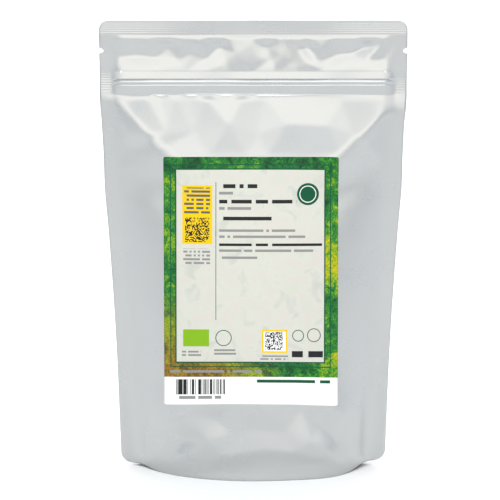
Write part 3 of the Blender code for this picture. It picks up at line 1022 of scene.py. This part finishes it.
@dataclass(frozen=True)
class LabelPlace:
    """Where the label lies on the back wall. Its lower corners hang, as the film is shorter there."""

    left: float
    bottom: float
    width: float
    height: float
    corner_drop: float = 4.3 * MM
    print_height: float = 151.8 * MM
    past_side: float = 5 * MM
    past_end: float = 1 * MM
    fade: float = 4 * MM

    def z(self, across: Array, up: Array) -> Array:
        """Height of a place on the label, across from -1 to 1 and up from 0 to 1."""
        return self.bottom + self.height * up - self.corner_drop * (1 - up) * across**2

    def cover(self, s: Array, z: Array) -> Array:
        """1 under the label and 0 away from it, fading just outside its edges."""
        middle = self.left + self.width / 2
        beside = np.abs(s - middle) - (self.width / 2 + self.past_side)
        beyond = np.abs(z - self.bottom - self.height / 2) - (self.height / 2 + self.past_end)
        return ease(1 - np.maximum(beside, beyond) / self.fade)


class FilmWall:
    """One wall of the pouch, its film creased over the load, the zip and the seals."""

    COLUMNS = 128
    SEAL_COLUMNS = 6
    ROW_STEP = 1.4 * MM
    FINE_STEP = 0.4 * MM
    RIB_STEP = 0.21 * MM
    ZIP_MIDDLE = 1.5 * MM
    ZIP_HALF = 9.5 * MM
    CLOSURE_MIDDLE = 1.8 * MM
    CLOSURE_HALF = 2.8 * MM
    NOTCH_HALF = 2.2 * MM
    CHOSEN = {Side.BACK: BELLY_FOLDS + BASE_FOLDS, Side.FRONT: []}
    SEEDS = {Side.BACK: 7, Side.FRONT: 23}
    HEAD_SEED = 3
    HEAD_BOLD = 1.3
    SOFTNESS = 0.9 * MM
    HEAD_SOFTNESS = 0.8 * MM
    UNDER_LABEL = 3.0 * MM
    ABOVE_FOOT = 6 * MM
    BELOW_ZIP = 3 * MM
    ABOVE_ZIP = 3.0 * MM
    BELOW_SEAL = 2.5 * MM
    HEAD_FOOT = 249.5 * MM
    # In millimetres: above a height and beyond a distance from the middle, the height and spacing of folds
    LOOSENESS = (
        (252, -1, 0.9, 10.0),
        (190, 50, 0.35, 12.0),
        (190, -1, 0.3, 16.0),
        (50, 60, 0.18, 14.0),
        (50, -1, 0.10, 22.0),
        (-1, 25, 0.45, 12.0),
        (-1, -1, 0.25, 14.0),
    )
    HEAD_ABOVE = 252
    FOOT_BELOW = 50
    RANDOM_TRIES = 1600
    RANDOM_SIDE = 86
    SPARE_BOLD = 0.35
    RIB_PITCH = 1.3 * MM
    RIB_HEIGHT = 0.07 * MM
    RIB_LEAST = 0.25
    WAVE_FOOT = 254 * MM
    WAVE_RISE = 25 * MM
    LEDGE = 0.12 * MM
    LEDGE_HALF = 75 * MM
    CRUSH = 0.05
    CRUSH_PITCH = 1.5 * MM
    CRUSH_MIDDLE = 245 * MM
    LEAN = 1.7 * MM
    LEAN_FEET = (231 * MM, 224 * MM)
    LEAN_RISE = 19 * MM
    LEAN_REACH = 38 * MM
    ZIP_STEP = 0.1
    ZIP_SOFTNESS = 1.2
    ZIP_PROFILE = (
        (-13.0, 0.0), (-9.6, 0.25), (-8.6, 0.35), (-4.2, 0.78), (-3.7, 0.75), (-3.3, 0.25), (-2.9, 0.75),
        (-2.2, 0.80), (-1.8, 0.90), (-1.4, 0.75), (-0.7, 0.10), (0.1, 0.75), (0.4, 0.80), (4.6, 0.06),
        (6.2, 0.0),
    )

    def __init__(self, form: FilmForm, side: Side, label: LabelPlace | None) -> None:
        """Prepares the folds of one wall.

        Args:
            form: The film's smooth shape.
            side: Which wall this is.
            label: Where a label holds the film smooth, if the wall has one.
        """
        self.form = form
        self.side = side
        self.label = label
        folds = self._with_random(self.CHOSEN[side], self.SEEDS[side], 2.0, 234.0)
        self.folds = FoldField(folds, form.half_width, form.height, self.SOFTNESS)
        head = self._with_random(HEAD_FOLDS, self.HEAD_SEED, 256.0, 273.0)
        self.head = FoldField(head, form.half_width, form.height, self.HEAD_SOFTNESS)

    def _with_random(self, chosen: list[Fold], seed: int, low: float, high: float) -> list[Fold]:
        """Adds small random folds to the chosen ones, and larger ones where none were chosen.

        Args:
            chosen: The listed folds.
            seed: Seed of the random folds.
            low: Lowest height of a random fold, in millimetres.
            high: Greatest height of one.

        Returns:
            All folds.
        """
        rng = np.random.default_rng(seed)
        folds = list(chosen)
        bold = 1.0 if not chosen else self.SPARE_BOLD
        for _ in range(self.RANDOM_TRIES):
            x, z = rng.uniform(-self.RANDOM_SIDE, self.RANDOM_SIDE), rng.uniform(low, high)
            size, spacing = self._looseness(x, z)
            loose = z > self.HEAD_ABOVE or z < self.FOOT_BELOW
            height = rng.uniform(-1, 1) * size * (bold if loose else 1.0)
            if all(math.hypot(f.x - x, f.z - z) > spacing for f in folds):
                folds.append(Fold(x, z, height))
        return folds

    @staticmethod
    def _looseness(x: float, z: float) -> tuple[float, float]:
        """Height of the random folds at a place on the wall and how far apart they are, in millimetres."""
        for above, beyond, size, spacing in FilmWall.LOOSENESS:
            if z > above and abs(x) > beyond:
                return size, spacing
        return 0.0, math.inf

    def columns(self) -> Array:
        """Places across the film, from its left edge to its right one."""
        arc, edge = self.form.arc_half, self.form.half_width
        seal = np.linspace(arc, edge, self.SEAL_COLUMNS + 1)
        middle = np.linspace(-arc, arc, self.COLUMNS + 1)
        return np.concatenate((-seal[::-1], middle[1:-1], seal))

    def rows(self) -> Array:
        """Heights of the rows of points, closer together where the film has fine forms."""
        form = self.form
        seal = form.height - form.top_seal
        heights = [0.0]
        while heights[-1] < form.height - 1e-9:
            z = heights[-1]
            from_zip = abs(z - form.zip_height + self.ZIP_MIDDLE)
            from_notch = abs(z - form.notch_height)
            from_closure = abs(z - form.zip_height + self.CLOSURE_MIDDLE)
            if z >= seal - 1.0 * MM or from_closure < self.CLOSURE_HALF:
                step = self.RIB_STEP
            elif from_zip < self.ZIP_HALF or from_notch < self.NOTCH_HALF:
                step = self.FINE_STEP
            elif z < form.base_corner:
                step = 0.5 * self.ROW_STEP
            else:
                step = self.ROW_STEP
            heights.append(min(z + step, form.height))
        return np.array(heights)

    def smooth(self, s: Array, z: float) -> tuple[Array, Array]:
        """X and outward Y of the outside of the film before its folds."""
        x, y = self.form.row(s, z, self.side)
        return x, y + self.form.film

    def relief(self, s: Array, z: Array) -> Array:
        """How far the film's folds and welded forms stand out.

        Args:
            s: Places across the film.
            z: Heights, of the same shape.

        Returns:
            The height of the relief at each place.
        """
        form = self.form
        folds = self.folds.at(s, z)
        if self.label is not None:
            covered = self.label.cover(s, z)
            folds = folds * (1 - covered) + self.folds.at(s, z, self.UNDER_LABEL) * covered
        free = form.between_seals(s) * ease(z / self.ABOVE_FOOT)
        free = free * ease((form.zip_height - form.zip_below - z) / self.BELOW_ZIP)
        return folds * free + self._zip_relief(s, z) + self._gusset_ledge(s, z)

    def _zip_relief(self, s: Array, z: Array) -> Array:
        """The zip's flanges and closing line, pressed through the film."""
        form = self.form
        up = np.arange(-14.0, 12.0, self.ZIP_STEP)
        places, heights = zip(*self.ZIP_PROFILE)
        profile = line_blurred(np.interp(up, places, heights), self.ZIP_SOFTNESS)
        uneven = 1 + 0.16 * np.sin(s / (14 * MM) + 0.5) + 0.10 * np.sin(s / (6 * MM) + 2.0)
        inside = ease((form.arc_half + 1.5 * MM - np.abs(s)) / (2.5 * MM))
        return np.interp((z - form.zip_height) / MM, up, profile) * MM * inside * uneven

    def _gusset_ledge(self, s: Array, z: Array) -> Array:
        """The faint ledge along the curved seal of the gusset."""
        above = z - self.form.seal_line(s)
        inside = self.form.between_seals(s)
        inside = inside * ease((self.LEDGE_HALF - np.abs(s)) / (30 * MM))
        return self.LEDGE * ease((above + 1.0 * MM) / (2.6 * MM)) * inside

    def shared_relief(self, s: Array, z: Array) -> Array:
        """How far both films lie to +Y together: folds of the empty head, seal ribs and a slight wave."""
        form = self.form
        seal = form.height - form.top_seal
        in_top = ease((z - seal) / (0.6 * MM)) * ease((form.height - 0.5 * MM - z) / (0.8 * MM))
        share = np.abs(s) / form.half_width
        strength = self.RIB_LEAST + (1 - self.RIB_LEAST) * ease((share - 0.35) / 0.5)
        ribs = self.RIB_HEIGHT * np.sin(2 * math.pi * (z - seal) / self.RIB_PITCH) * strength * in_top
        up = ease((z - self.WAVE_FOOT) / self.WAVE_RISE)
        wave = 0.5 * np.sin(s / (31 * MM) + 0.6) + 0.3 * np.sin(s / (13 * MM) + 2.0)
        in_side = ease((np.abs(s) - form.arc_half) / (2 * MM))
        by_zip = ease((7.5 * MM - np.abs(z - self.CRUSH_MIDDLE)) / (2 * MM))
        crush = self.CRUSH * np.sin(2 * math.pi * z / self.CRUSH_PITCH) * in_side * by_zip
        loose = form.between_seals(s) * ease((seal - z) / self.BELOW_SEAL)
        loose = loose * ease((z - self.HEAD_FOOT) / self.ABOVE_ZIP)
        folds = self.HEAD_BOLD * self.head.at(s, z) * loose
        return ribs + (wave * up + crush) * MM + self._seal_lean(s, z) - folds

    def _seal_lean(self, s: Array, z: Array) -> Array:
        """How far the side seals lean to +Y beside the zip, where its crushed ends bend them."""
        foot = np.where(s < 0, *self.LEAN_FEET)
        rise = ease((z - foot) / self.LEAN_RISE) * ease((foot + self.LEAN_REACH - z) / self.LEAN_RISE)
        return self.LEAN * rise * ease((np.abs(s) - self.form.arc_half + 6 * MM) / (9 * MM))

    def surface(self) -> tuple[Array, Array]:
        """The outside of the film.

        Returns:
            A grid of points, and each point's place on the flat film.
        """
        heights = self.rows()
        columns = self.columns()
        facing = self.side.value
        points = np.empty((len(heights), len(columns), 3))
        places = np.empty((len(heights), len(columns), 2))
        for i, z in enumerate(heights):
            s = self.form.trimmed(columns, z)
            x, y = self.smooth(s, z)
            points[i] = np.stack((x, facing * y, np.full_like(x, z)), axis=1)
            places[i] = np.stack((s, np.full_like(s, z)), axis=1)
        s, z = places[..., 0], places[..., 1]
        points[..., 2] += self.form.lift(s, z)
        points = points + grid_normals(points, facing) * self.relief(s, z)[..., None]
        points[..., 1] += self.shared_relief(s, z)
        return points, places

    def build(self, material: bpy.types.Material) -> bpy.types.Object:
        """Makes the wall.

        Args:
            material: The foil.

        Returns:
            The wall, with its thickness still a modifier.
        """
        points, places = self.surface()
        name = "creased_back_wall" if self.side is Side.BACK else "creased_front_wall"
        wall = sheet_object(name, points, places, self.side.value)
        wall.data.materials.append(material)
        thicken(wall, self.form.film)
        return wall


@dataclass
class Gusset:
    """Base film: skirts sealed to both walls up a curved line, and a fold drawn open into a floor."""

    form: FilmForm
    columns: int = 150
    skirt_rows: int = 14
    floor_rows: int = 44
    most_slope: float = 1.25
    clearance: float = 1.3 * MM
    crease: float = 1.2 * MM
    crease_width: float = 1.5 * MM
    seed: int = 5
    fold_tries: int = 500
    fold_spacing: float = 9.0
    fold_heights: tuple[float, float] = (-0.5, 0.8)
    fold_softness: float = 1.2 * MM

    def skirt(self, places: Array, wall: FilmWall) -> Array:
        """The skirt that is welded to one wall and follows its folds.

        Args:
            places: Places across the film.
            wall: The wall.

        Returns:
            A grid of points, rows upwards from the foot to the curved seal line.
        """
        form = self.form
        shares = np.linspace(0.0, 1.0, self.skirt_rows)
        heights = shares[:, None] * form.seal_line(places)[None, :]
        s = np.empty_like(heights)
        points = np.empty((*heights.shape, 3))
        for (i, j), z in np.ndenumerate(heights):
            s[i, j] = form.trimmed(places[j], z)
            x, y = form.row(s[i, j : j + 1], z, wall.side)
            points[i, j] = (x[0], wall.side.value * y[0], z)
        points[..., 2] += form.lift(s, heights)
        inset = wall.relief(s, heights) - form.slack - form.film / 2
        points = points + grid_normals(points, wall.side.value) * inset[..., None]
        clear = wall.side.value * 0.55 * form.film
        past = np.maximum(0.0, wall.side.value * points[..., 1] - abs(clear))
        points[..., 1] = clear + wall.side.value * past
        return points

    def floor(self, back: Array, front: Array, ruffle: Array) -> Array:
        """The fold drawn open between the skirts' upper edges.

        Args:
            back: Upper edge of the back skirt.
            front: Upper edge of the front skirt.
            ruffle: Height of the floor's small folds, one row for each row of points.

        Returns:
            A grid of points, rows from the back to the front.
        """
        share = np.linspace(-1.0, 1.0, self.floor_rows)[:, None]
        grid = back + (front - back) * ((share + 1) / 2)[..., None]
        half_span = np.maximum(0.0, (front[:, 1] - back[:, 1]) / 2)
        top = grid[..., 2]
        open_span = np.maximum(0.0, half_span - 2 * self.form.film)
        sag = np.minimum(top - self.clearance, self.most_slope * open_span)
        ridge = np.exp(-((share * half_span / self.crease_width) ** 2))
        fold = self.crease * ridge * ease(half_span / (20 * MM))
        ruffle = ruffle * ease(6 * (1 - np.abs(share))) * ease(half_span / (15 * MM))
        height = top - sag + sag * share**2 + fold + ruffle
        grid[..., 2] = np.maximum(height, 0.6 * MM * ease(1 - np.abs(share)))
        return grid

    def build(self, material: bpy.types.Material, walls: tuple[FilmWall, FilmWall]) -> bpy.types.Object:
        """Makes the gusset.

        Args:
            material: The foil.
            walls: The back and front walls.

        Returns:
            The gusset, with its thickness still a modifier.
        """
        rng = np.random.default_rng(self.seed)
        folds = []
        for _ in range(self.fold_tries):
            x, z = rng.uniform(-86, 86), rng.uniform(16, 104)
            if all(math.hypot(f.x - x, f.z - z) > self.fold_spacing for f in folds):
                folds.append(Fold(x, z, rng.uniform(*self.fold_heights)))
        wrinkle = FoldField(folds, self.form.half_width, 120 * MM, self.fold_softness)
        edge = self.form.half_width
        places = np.linspace(-edge, edge, self.columns + 1)
        back, front = (self.skirt(places, wall) for wall in walls)
        span = (front[-1, :, 1] - back[-1, :, 1]) / 2
        across = 60 * MM + np.linspace(-1.0, 1.0, self.floor_rows)[:, None] * span
        ruffle = wrinkle.at(np.broadcast_to(places, across.shape), across)
        floor = self.floor(back[-1], front[-1], ruffle)
        grid = np.concatenate((back[:-1], floor, front[:-1][::-1]))
        run = np.linspace(0.0, 2 * self.form.base_depth, grid.shape[0])
        uv = np.stack(np.broadcast_arrays(places[None, :], run[:, None]), axis=2)
        gusset = sheet_object("folded_gusset", grid, uv, 1)
        gusset.data.materials.append(material)
        solid = gusset.modifiers.new("film_thickness", "SOLIDIFY")
        solid.thickness = self.form.film
        solid.offset = 0.0
        return gusset


@dataclass
class Label:
    """The printed label, glued to the back wall and following its soft waves."""

    form: FilmForm
    place: LabelPlace
    wall: FilmWall
    stock: float = 0.12 * MM
    over_film: float = 0.06 * MM
    columns: int = 80
    rows: int = 110
    corner: float = 1.2 * MM

    def layout(self) -> tuple[Array, Array]:
        """Places on the flat label with its corners rounded, across from -1 to 1 and up from 0 to 1."""
        ends = np.array((0.0, 0.12, 0.35, 0.65, 1.0)) * self.corner
        middle = np.linspace(self.corner, self.place.height - self.corner, self.rows)[1:-1]
        heights = np.concatenate((ends, middle, self.place.height - ends[::-1]))
        into = np.maximum(0.0, self.corner - np.minimum(heights, self.place.height - heights))
        trim = self.corner - np.sqrt(self.corner**2 - into**2)
        half = 1 - 2 * trim / self.place.width
        across = np.linspace(-1.0, 1.0, self.columns + 1)[None, :] * half[:, None]
        return across, np.broadcast_to(heights[:, None] / self.place.height, across.shape)

    def on_wall(self, x: Array, z: Array) -> tuple[Array, Array]:
        """Outward Y of the wall's smooth outside, and the place along its film, at each X and height."""
        step = 1.0 * MM
        low = (x.min() - step, z.min() - step)
        along_x = np.arange(low[0], x.max() + 2 * step, step)
        along_z = np.arange(low[1], z.max() + 2 * step, step)
        s = np.linspace(-self.form.arc_half, self.form.arc_half, 600)
        wall_y, wall_s = [], []
        for height in along_z:
            row_x, row_y = self.wall.smooth(s, height)
            wall_y.append(np.interp(along_x, row_x, row_y))
            wall_s.append(np.interp(along_x, row_x, s))
        row, column = (z - low[1]) / step, (x - low[0]) / step
        return bilinear(np.array(wall_y), row, column), bilinear(np.array(wall_s), row, column)

    def build(self, material: bpy.types.Material) -> bpy.types.Object:
        """Makes the label.

        Args:
            material: The printed paper.

        Returns:
            The label, with its thickness still a modifier.
        """
        across, up = self.layout()
        x = self.place.left + (across + 1) * self.place.width / 2
        z = self.place.z(across, up)
        y, s = self.on_wall(x, z)
        points = np.stack((x, -y, z), axis=2)
        lift = self.wall.relief(s, z) + self.over_film + self.stock
        points = points + grid_normals(points, Side.BACK.value) * lift[..., None]
        uv = np.stack((x - self.place.left, up * self.place.print_height), axis=2)
        label = sheet_object("printed_label", points, uv, Side.BACK.value)
        label.data.materials.append(material)
        thicken(label, self.stock)
        return label


@dataclass
class PodHeap:
    """The load: whole cardamom pods settled over a core, laid out by geometry nodes."""

    length: float = 15.0 * MM
    spacing: float = 9.5 * MM
    shrink: float = 7.5 * MM
    seed: int = 11
    ridges: int = 3
    ridge_height: float = 0.10
    girth: float = 0.26
    taper: float = 0.25
    sides: int = 9
    rings: int = 7
    tilt: float = 0.35
    smallest: float = 0.8
    largest: float = 1.1
    density: float = 40000.0

    def pod(self) -> bpy.types.Object:
        """One pod along X: pointed at both ends, three-sided, with a ridge along each side."""
        mesh = bpy.data.meshes.new("pod")
        points = [(-self.length / 2, 0.0, 0.0)]
        for ring in range(1, self.rings):
            along = ring / self.rings
            girth = self.girth * self.length * math.sin(math.pi * along) ** 0.75
            girth *= 1.08 - self.taper * along
            for side in range(self.sides):
                turn = 2 * math.pi * side / self.sides
                radius = girth * (1 + self.ridge_height * math.cos(self.ridges * turn))
                place = ((along - 0.5) * self.length, radius * math.cos(turn), radius * math.sin(turn))
                points.append(place)
        points.append((self.length / 2, 0.0, 0.0))
        faces = []
        last = len(points) - 1
        for side in range(self.sides):
            after = (side + 1) % self.sides
            faces.append((0, 1 + after, 1 + side))
            for ring in range(self.rings - 2):
                a, b = 1 + ring * self.sides, 1 + (ring + 1) * self.sides
                faces.append((a + side, a + after, b + after, b + side))
            tail = 1 + (self.rings - 2) * self.sides
            faces.append((tail + side, tail + after, last))
        mesh.from_pydata(points, [], faces)
        mesh.shade_smooth()
        return new_object("pod", mesh)

    def core(self, solid: bpy.types.Object) -> bpy.types.Object:
        """The load's solid drawn in by the pods' thickness, as the heap's hidden middle."""
        mesh = solid.data.copy()
        mesh.materials.clear()
        obj = new_object("settled_pods", mesh)
        weld = obj.modifiers.new("weld", "WELD")
        weld.merge_threshold = 0.01 * MM
        joined = as_plain_mesh(obj)
        corners = np.array([v.co for v in joined.data.vertices])
        middle = (corners.min(0) + corners.max(0)) / 2
        half = (corners.max(0) - corners.min(0)) / 2
        for vertex in joined.data.vertices:
            for axis in range(3):
                share = 1 - self.shrink / half[axis]
                vertex.co[axis] = middle[axis] + (vertex.co[axis] - middle[axis]) * share
        return joined

    def tree(self) -> bpy.types.GeometryNodeTree:
        """Node tree that lays pods over a core's surface, turned at random, and joins them to it."""
        tree = bpy.data.node_groups.new("pods_over_core", "GeometryNodeTree")
        kinds = {"Geometry": "Geometry", "Pod": "Object", "Spacing": "Float"}
        kinds |= {"Seed": "Int", "Finish": "Material"}
        for title, kind in kinds.items():
            tree.interface.new_socket(title, in_out="INPUT", socket_type=f"NodeSocket{kind}")
        tree.interface.new_socket("Geometry", in_out="OUTPUT", socket_type="NodeSocketGeometry")
        graph = Graph(tree)
        core, pod, spacing, seed, finish = list(graph.node("NodeGroupInput").outputs)[: len(kinds)]
        spread = {"Mesh": core, "Distance Min": spacing, "Density Max": self.density, "Seed": seed}
        kind = "GeometryNodeDistributePointsOnFaces"
        scatter = graph.node(kind, spread, distribute_method="POISSON")
        shape = graph.node("GeometryNodeObjectInfo", {"Object": pod}).outputs["Geometry"]
        tilts = {0: (-self.tilt, -self.tilt, 0.0), 1: (self.tilt, self.tilt, 2 * math.pi), "Seed": seed}
        spin = graph.node("FunctionNodeRandomValue", tilts, data_type="FLOAT_VECTOR").outputs[0]
        turn = {0: scatter.outputs["Rotation"], 1: spin}
        turned = graph.node("FunctionNodeRotateRotation", turn, rotation_space="LOCAL").outputs[0]
        sizes = {2: self.smallest, 3: self.largest, "Seed": seed}
        size = graph.node("FunctionNodeRandomValue", sizes, data_type="FLOAT").outputs[1]
        layout = {"Points": scatter.outputs["Points"], "Instance": shape, "Rotation": turned, "Scale": size}
        laid = graph.node("GeometryNodeInstanceOnPoints", layout).outputs[0]
        joined = graph.node("GeometryNodeJoinGeometry")
        graph.feed(joined.inputs[0], graph.node("GeometryNodeRealizeInstances", {0: laid}).outputs[0])
        graph.feed(joined.inputs[0], core)
        dressing = {"Geometry": joined.outputs[0], "Material": finish}
        dressed = graph.node("GeometryNodeSetMaterial", dressing).outputs[0]
        graph.node("NodeGroupOutput", {0: dressed})
        return tree

    def build(self, solid: bpy.types.Object, material: bpy.types.Material) -> bpy.types.Object:
        """Makes the load.

        Args:
            solid: The load's solid in the frame.
            material: The husk.

        Returns:
            The heap of pods as one plain mesh.
        """
        heap = self.core(solid)
        pod = self.pod()
        layer = heap.modifiers.new("pods", "NODES")
        layer.node_group = self.tree()
        values = {"Pod": pod, "Spacing": self.spacing, "Seed": self.seed, "Finish": material}
        for item in layer.node_group.interface.items_tree:
            if item.in_out == "INPUT" and item.name in values:
                layer[item.identifier] = values[item.name]
        made = as_plain_mesh(heap)
        bpy.data.objects.remove(pod)
        return made


def as_plain_mesh(obj: bpy.types.Object) -> bpy.types.Object:
    """Turns an object's evaluated shape into its own mesh and removes its modifiers.

    Args:
        obj: The object.

    Returns:
        The same object.
    """
    bpy.context.view_layer.update()
    evaluated = obj.evaluated_get(bpy.context.evaluated_depsgraph_get())
    mesh = bpy.data.meshes.new_from_object(evaluated)
    obj.modifiers.clear()
    obj.data = mesh
    return obj


@dataclass(frozen=True)
class Lamp:
    """A soft square lamp: where it hangs and aims, in metres, its width, radiance and colour."""

    name: str
    place: tuple[float, float, float]
    aim: tuple[float, float, float]
    size: float
    radiance: float
    colour: Colour


@dataclass
class Studio:
    """Camera, pale floor and soft light."""

    middle_height: float
    distance: float = 1.5
    elevation: float = math.radians(10)
    lens: float = 172.7
    aim_x: float = -2.0 * MM
    aim_drop: float = 2.4 * MM
    floor_half: float = 6.0
    strength: float = 2.1

    def camera(self) -> None:
        """A camera at the photograph's angle, in front of the labelled side."""
        data = bpy.data.cameras.new("camera")
        data.lens = self.lens
        data.sensor_width = 36.0
        data.clip_end = 20.0
        camera = new_object("camera", data)
        back = self.distance * math.cos(self.elevation)
        camera.location = (0.0, -back, self.middle_height + self.distance * math.sin(self.elevation))
        aim = Vector((self.aim_x, 0.0, self.middle_height - self.aim_drop))
        camera.rotation_euler = (aim - camera.location).to_track_quat("-Z", "Y").to_euler()
        bpy.context.scene.camera = camera

    def floor(self) -> None:
        """A plain pale floor."""
        half = self.floor_half
        mesh = bpy.data.meshes.new("floor")
        corners = [(-half, -half, 0.0), (half, -half, 0.0), (half, half, 0.0), (-half, half, 0.0)]
        mesh.from_pydata(corners, [], [(0, 1, 2, 3)])
        material, _, shader = new_material("pale_floor")
        shader.inputs["Base Color"].default_value = (0.85, 0.85, 0.85, 1.0)
        shader.inputs["Roughness"].default_value = 0.8
        mesh.materials.append(material)
        new_object("floor", mesh)

    def lamp(self, lamp: Lamp) -> None:
        """Hangs one soft square lamp.

        Args:
            lamp: Its place, aim, size, radiance and colour.
        """
        data = bpy.data.lights.new(lamp.name, "AREA")
        data.shape = "SQUARE"
        data.size = lamp.size
        data.energy = math.pi * lamp.size**2 * lamp.radiance
        data.color = lamp.colour
        hung = new_object(lamp.name, data)
        hung.location = lamp.place
        hung.rotation_euler = (Vector(lamp.aim) - hung.location).to_track_quat("-Z", "Y").to_euler()

    def surroundings(self) -> None:
        """Pale surroundings: warm and bright above the horizon, cooler and dimmer overhead and beside."""
        world = bpy.data.worlds.new("surroundings")
        world.use_nodes = True
        graph = Graph(world.node_tree)
        toward = graph.node("ShaderNodeTexCoord").outputs["Generated"]
        part = graph.parts(toward)
        upward = [
            (0.00, (0.52, 0.53, 0.53)),
            (0.08, (0.74, 0.74, 0.72)),
            (0.22, (1.00, 0.985, 0.94)),
            (0.44, (0.93, 0.915, 0.87)),
            (0.60, (0.41, 0.44, 0.47)),
            (1.00, (0.31, 0.34, 0.38)),
        ]
        sideways = [(0.36, (1.0, 1.0, 1.0)), (0.90, (0.60, 0.64, 0.69))]
        sky = graph.ramp(part["Z"], upward)
        shade = graph.ramp(graph.math("ABSOLUTE", part["X"]), sideways)
        background = world.node_tree.nodes["Background"]
        graph.feed(background.inputs["Color"], graph.blend(1.0, sky, shade, "MULTIPLY"))
        background.inputs["Strength"].default_value = self.strength
        bpy.context.scene.world = world

    def light(self) -> None:
        """The surroundings, and a large soft lamp over the floor on each side of the pouch."""
        bpy.context.scene.view_settings.view_transform = "Standard"
        self.surroundings()
        warm, soft_warm = (1.0, 0.975, 0.935), (1.0, 0.98, 0.96)
        self.lamp(Lamp("over_front_floor", (0.0, -1.0, 2.6), (0.0, -0.6, 0.0), 2.4, 2.0, warm))
        self.lamp(Lamp("over_back_floor", (0.0, 2.8, 3.0), (0.0, 2.4, 0.0), 3.2, 2.4, soft_warm))

    def build(self) -> None:
        """Sets up the camera, the floor and the light."""
        self.camera()
        self.floor()
        self.light()


def report_piece(piece: bpy.types.Object, slot: str, *nodes: str) -> None:
    """Rides a piece on the pouch, hides the nodes that it stands for, and logs it with their names.

    Args:
        piece: The finished piece.
        slot: Not used.
        *nodes: CAD nodes that the piece replaces.
    """
    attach(piece, BODY)
    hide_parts(*nodes)
    LOG.info("%s: %d points, for %s", piece.name, len(piece.data.vertices), ", ".join(nodes))


def label_place(low: Vector, high: Vector) -> LabelPlace:
    """Where the label lies, from the box of its solid, whose thickness leans out past its edges."""
    lean = 0.53 * MM
    drop = LabelPlace.corner_drop
    return LabelPlace(low.x + lean, low.z + drop, high.x - low.x - 2 * lean, high.z - low.z - drop)


def main() -> None:
    """Builds the pouch's looks piece by piece and reports each."""
    logging.basicConfig(level=logging.INFO, format="%(name)s: %(message)s")
    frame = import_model()
    wall_low, wall_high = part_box("back_wall")
    base_depth = -wall_low.y - SOLID_STACK
    half_width = (wall_high.x - wall_low.x) / 2
    form = FilmForm(height=wall_high.z, half_width=half_width, base_depth=base_depth)
    Studio(middle_height=form.height / 2).build()

    effects = Effects()
    foil = FoilFinish().build(effects, form)
    plastic = ZipPlastic().build(effects)
    husk = PodHusk().build(effects)
    paper = LabelInk().build(effects)

    place = label_place(*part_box("back_label"))
    back = FilmWall(form, Side.BACK, place)
    report_piece(back.build(foil), "foil_film", "back_wall")
    front = FilmWall(form, Side.FRONT, None)
    report_piece(front.build(foil), "foil_film", "front_wall")
    report_piece(Gusset(form).build(foil, (back, front)), "foil_film", "bottom_gusset")
    report_piece(Label(form, place, back).build(paper), "label_stock", "back_label")
    report_piece(PodHeap().build(frame["nodes"]["pod_load"], husk), "cardamom_pods", "pod_load")
    for node in ("zip_groove_profile", "zip_rib_profile"):
        profile = frame["nodes"][node]
        profile.data.materials.clear()
        profile.data.materials.append(plastic)
        LOG.info("%s: kept, in milky plastic", node)


if __name__ == "__main__":
    main()
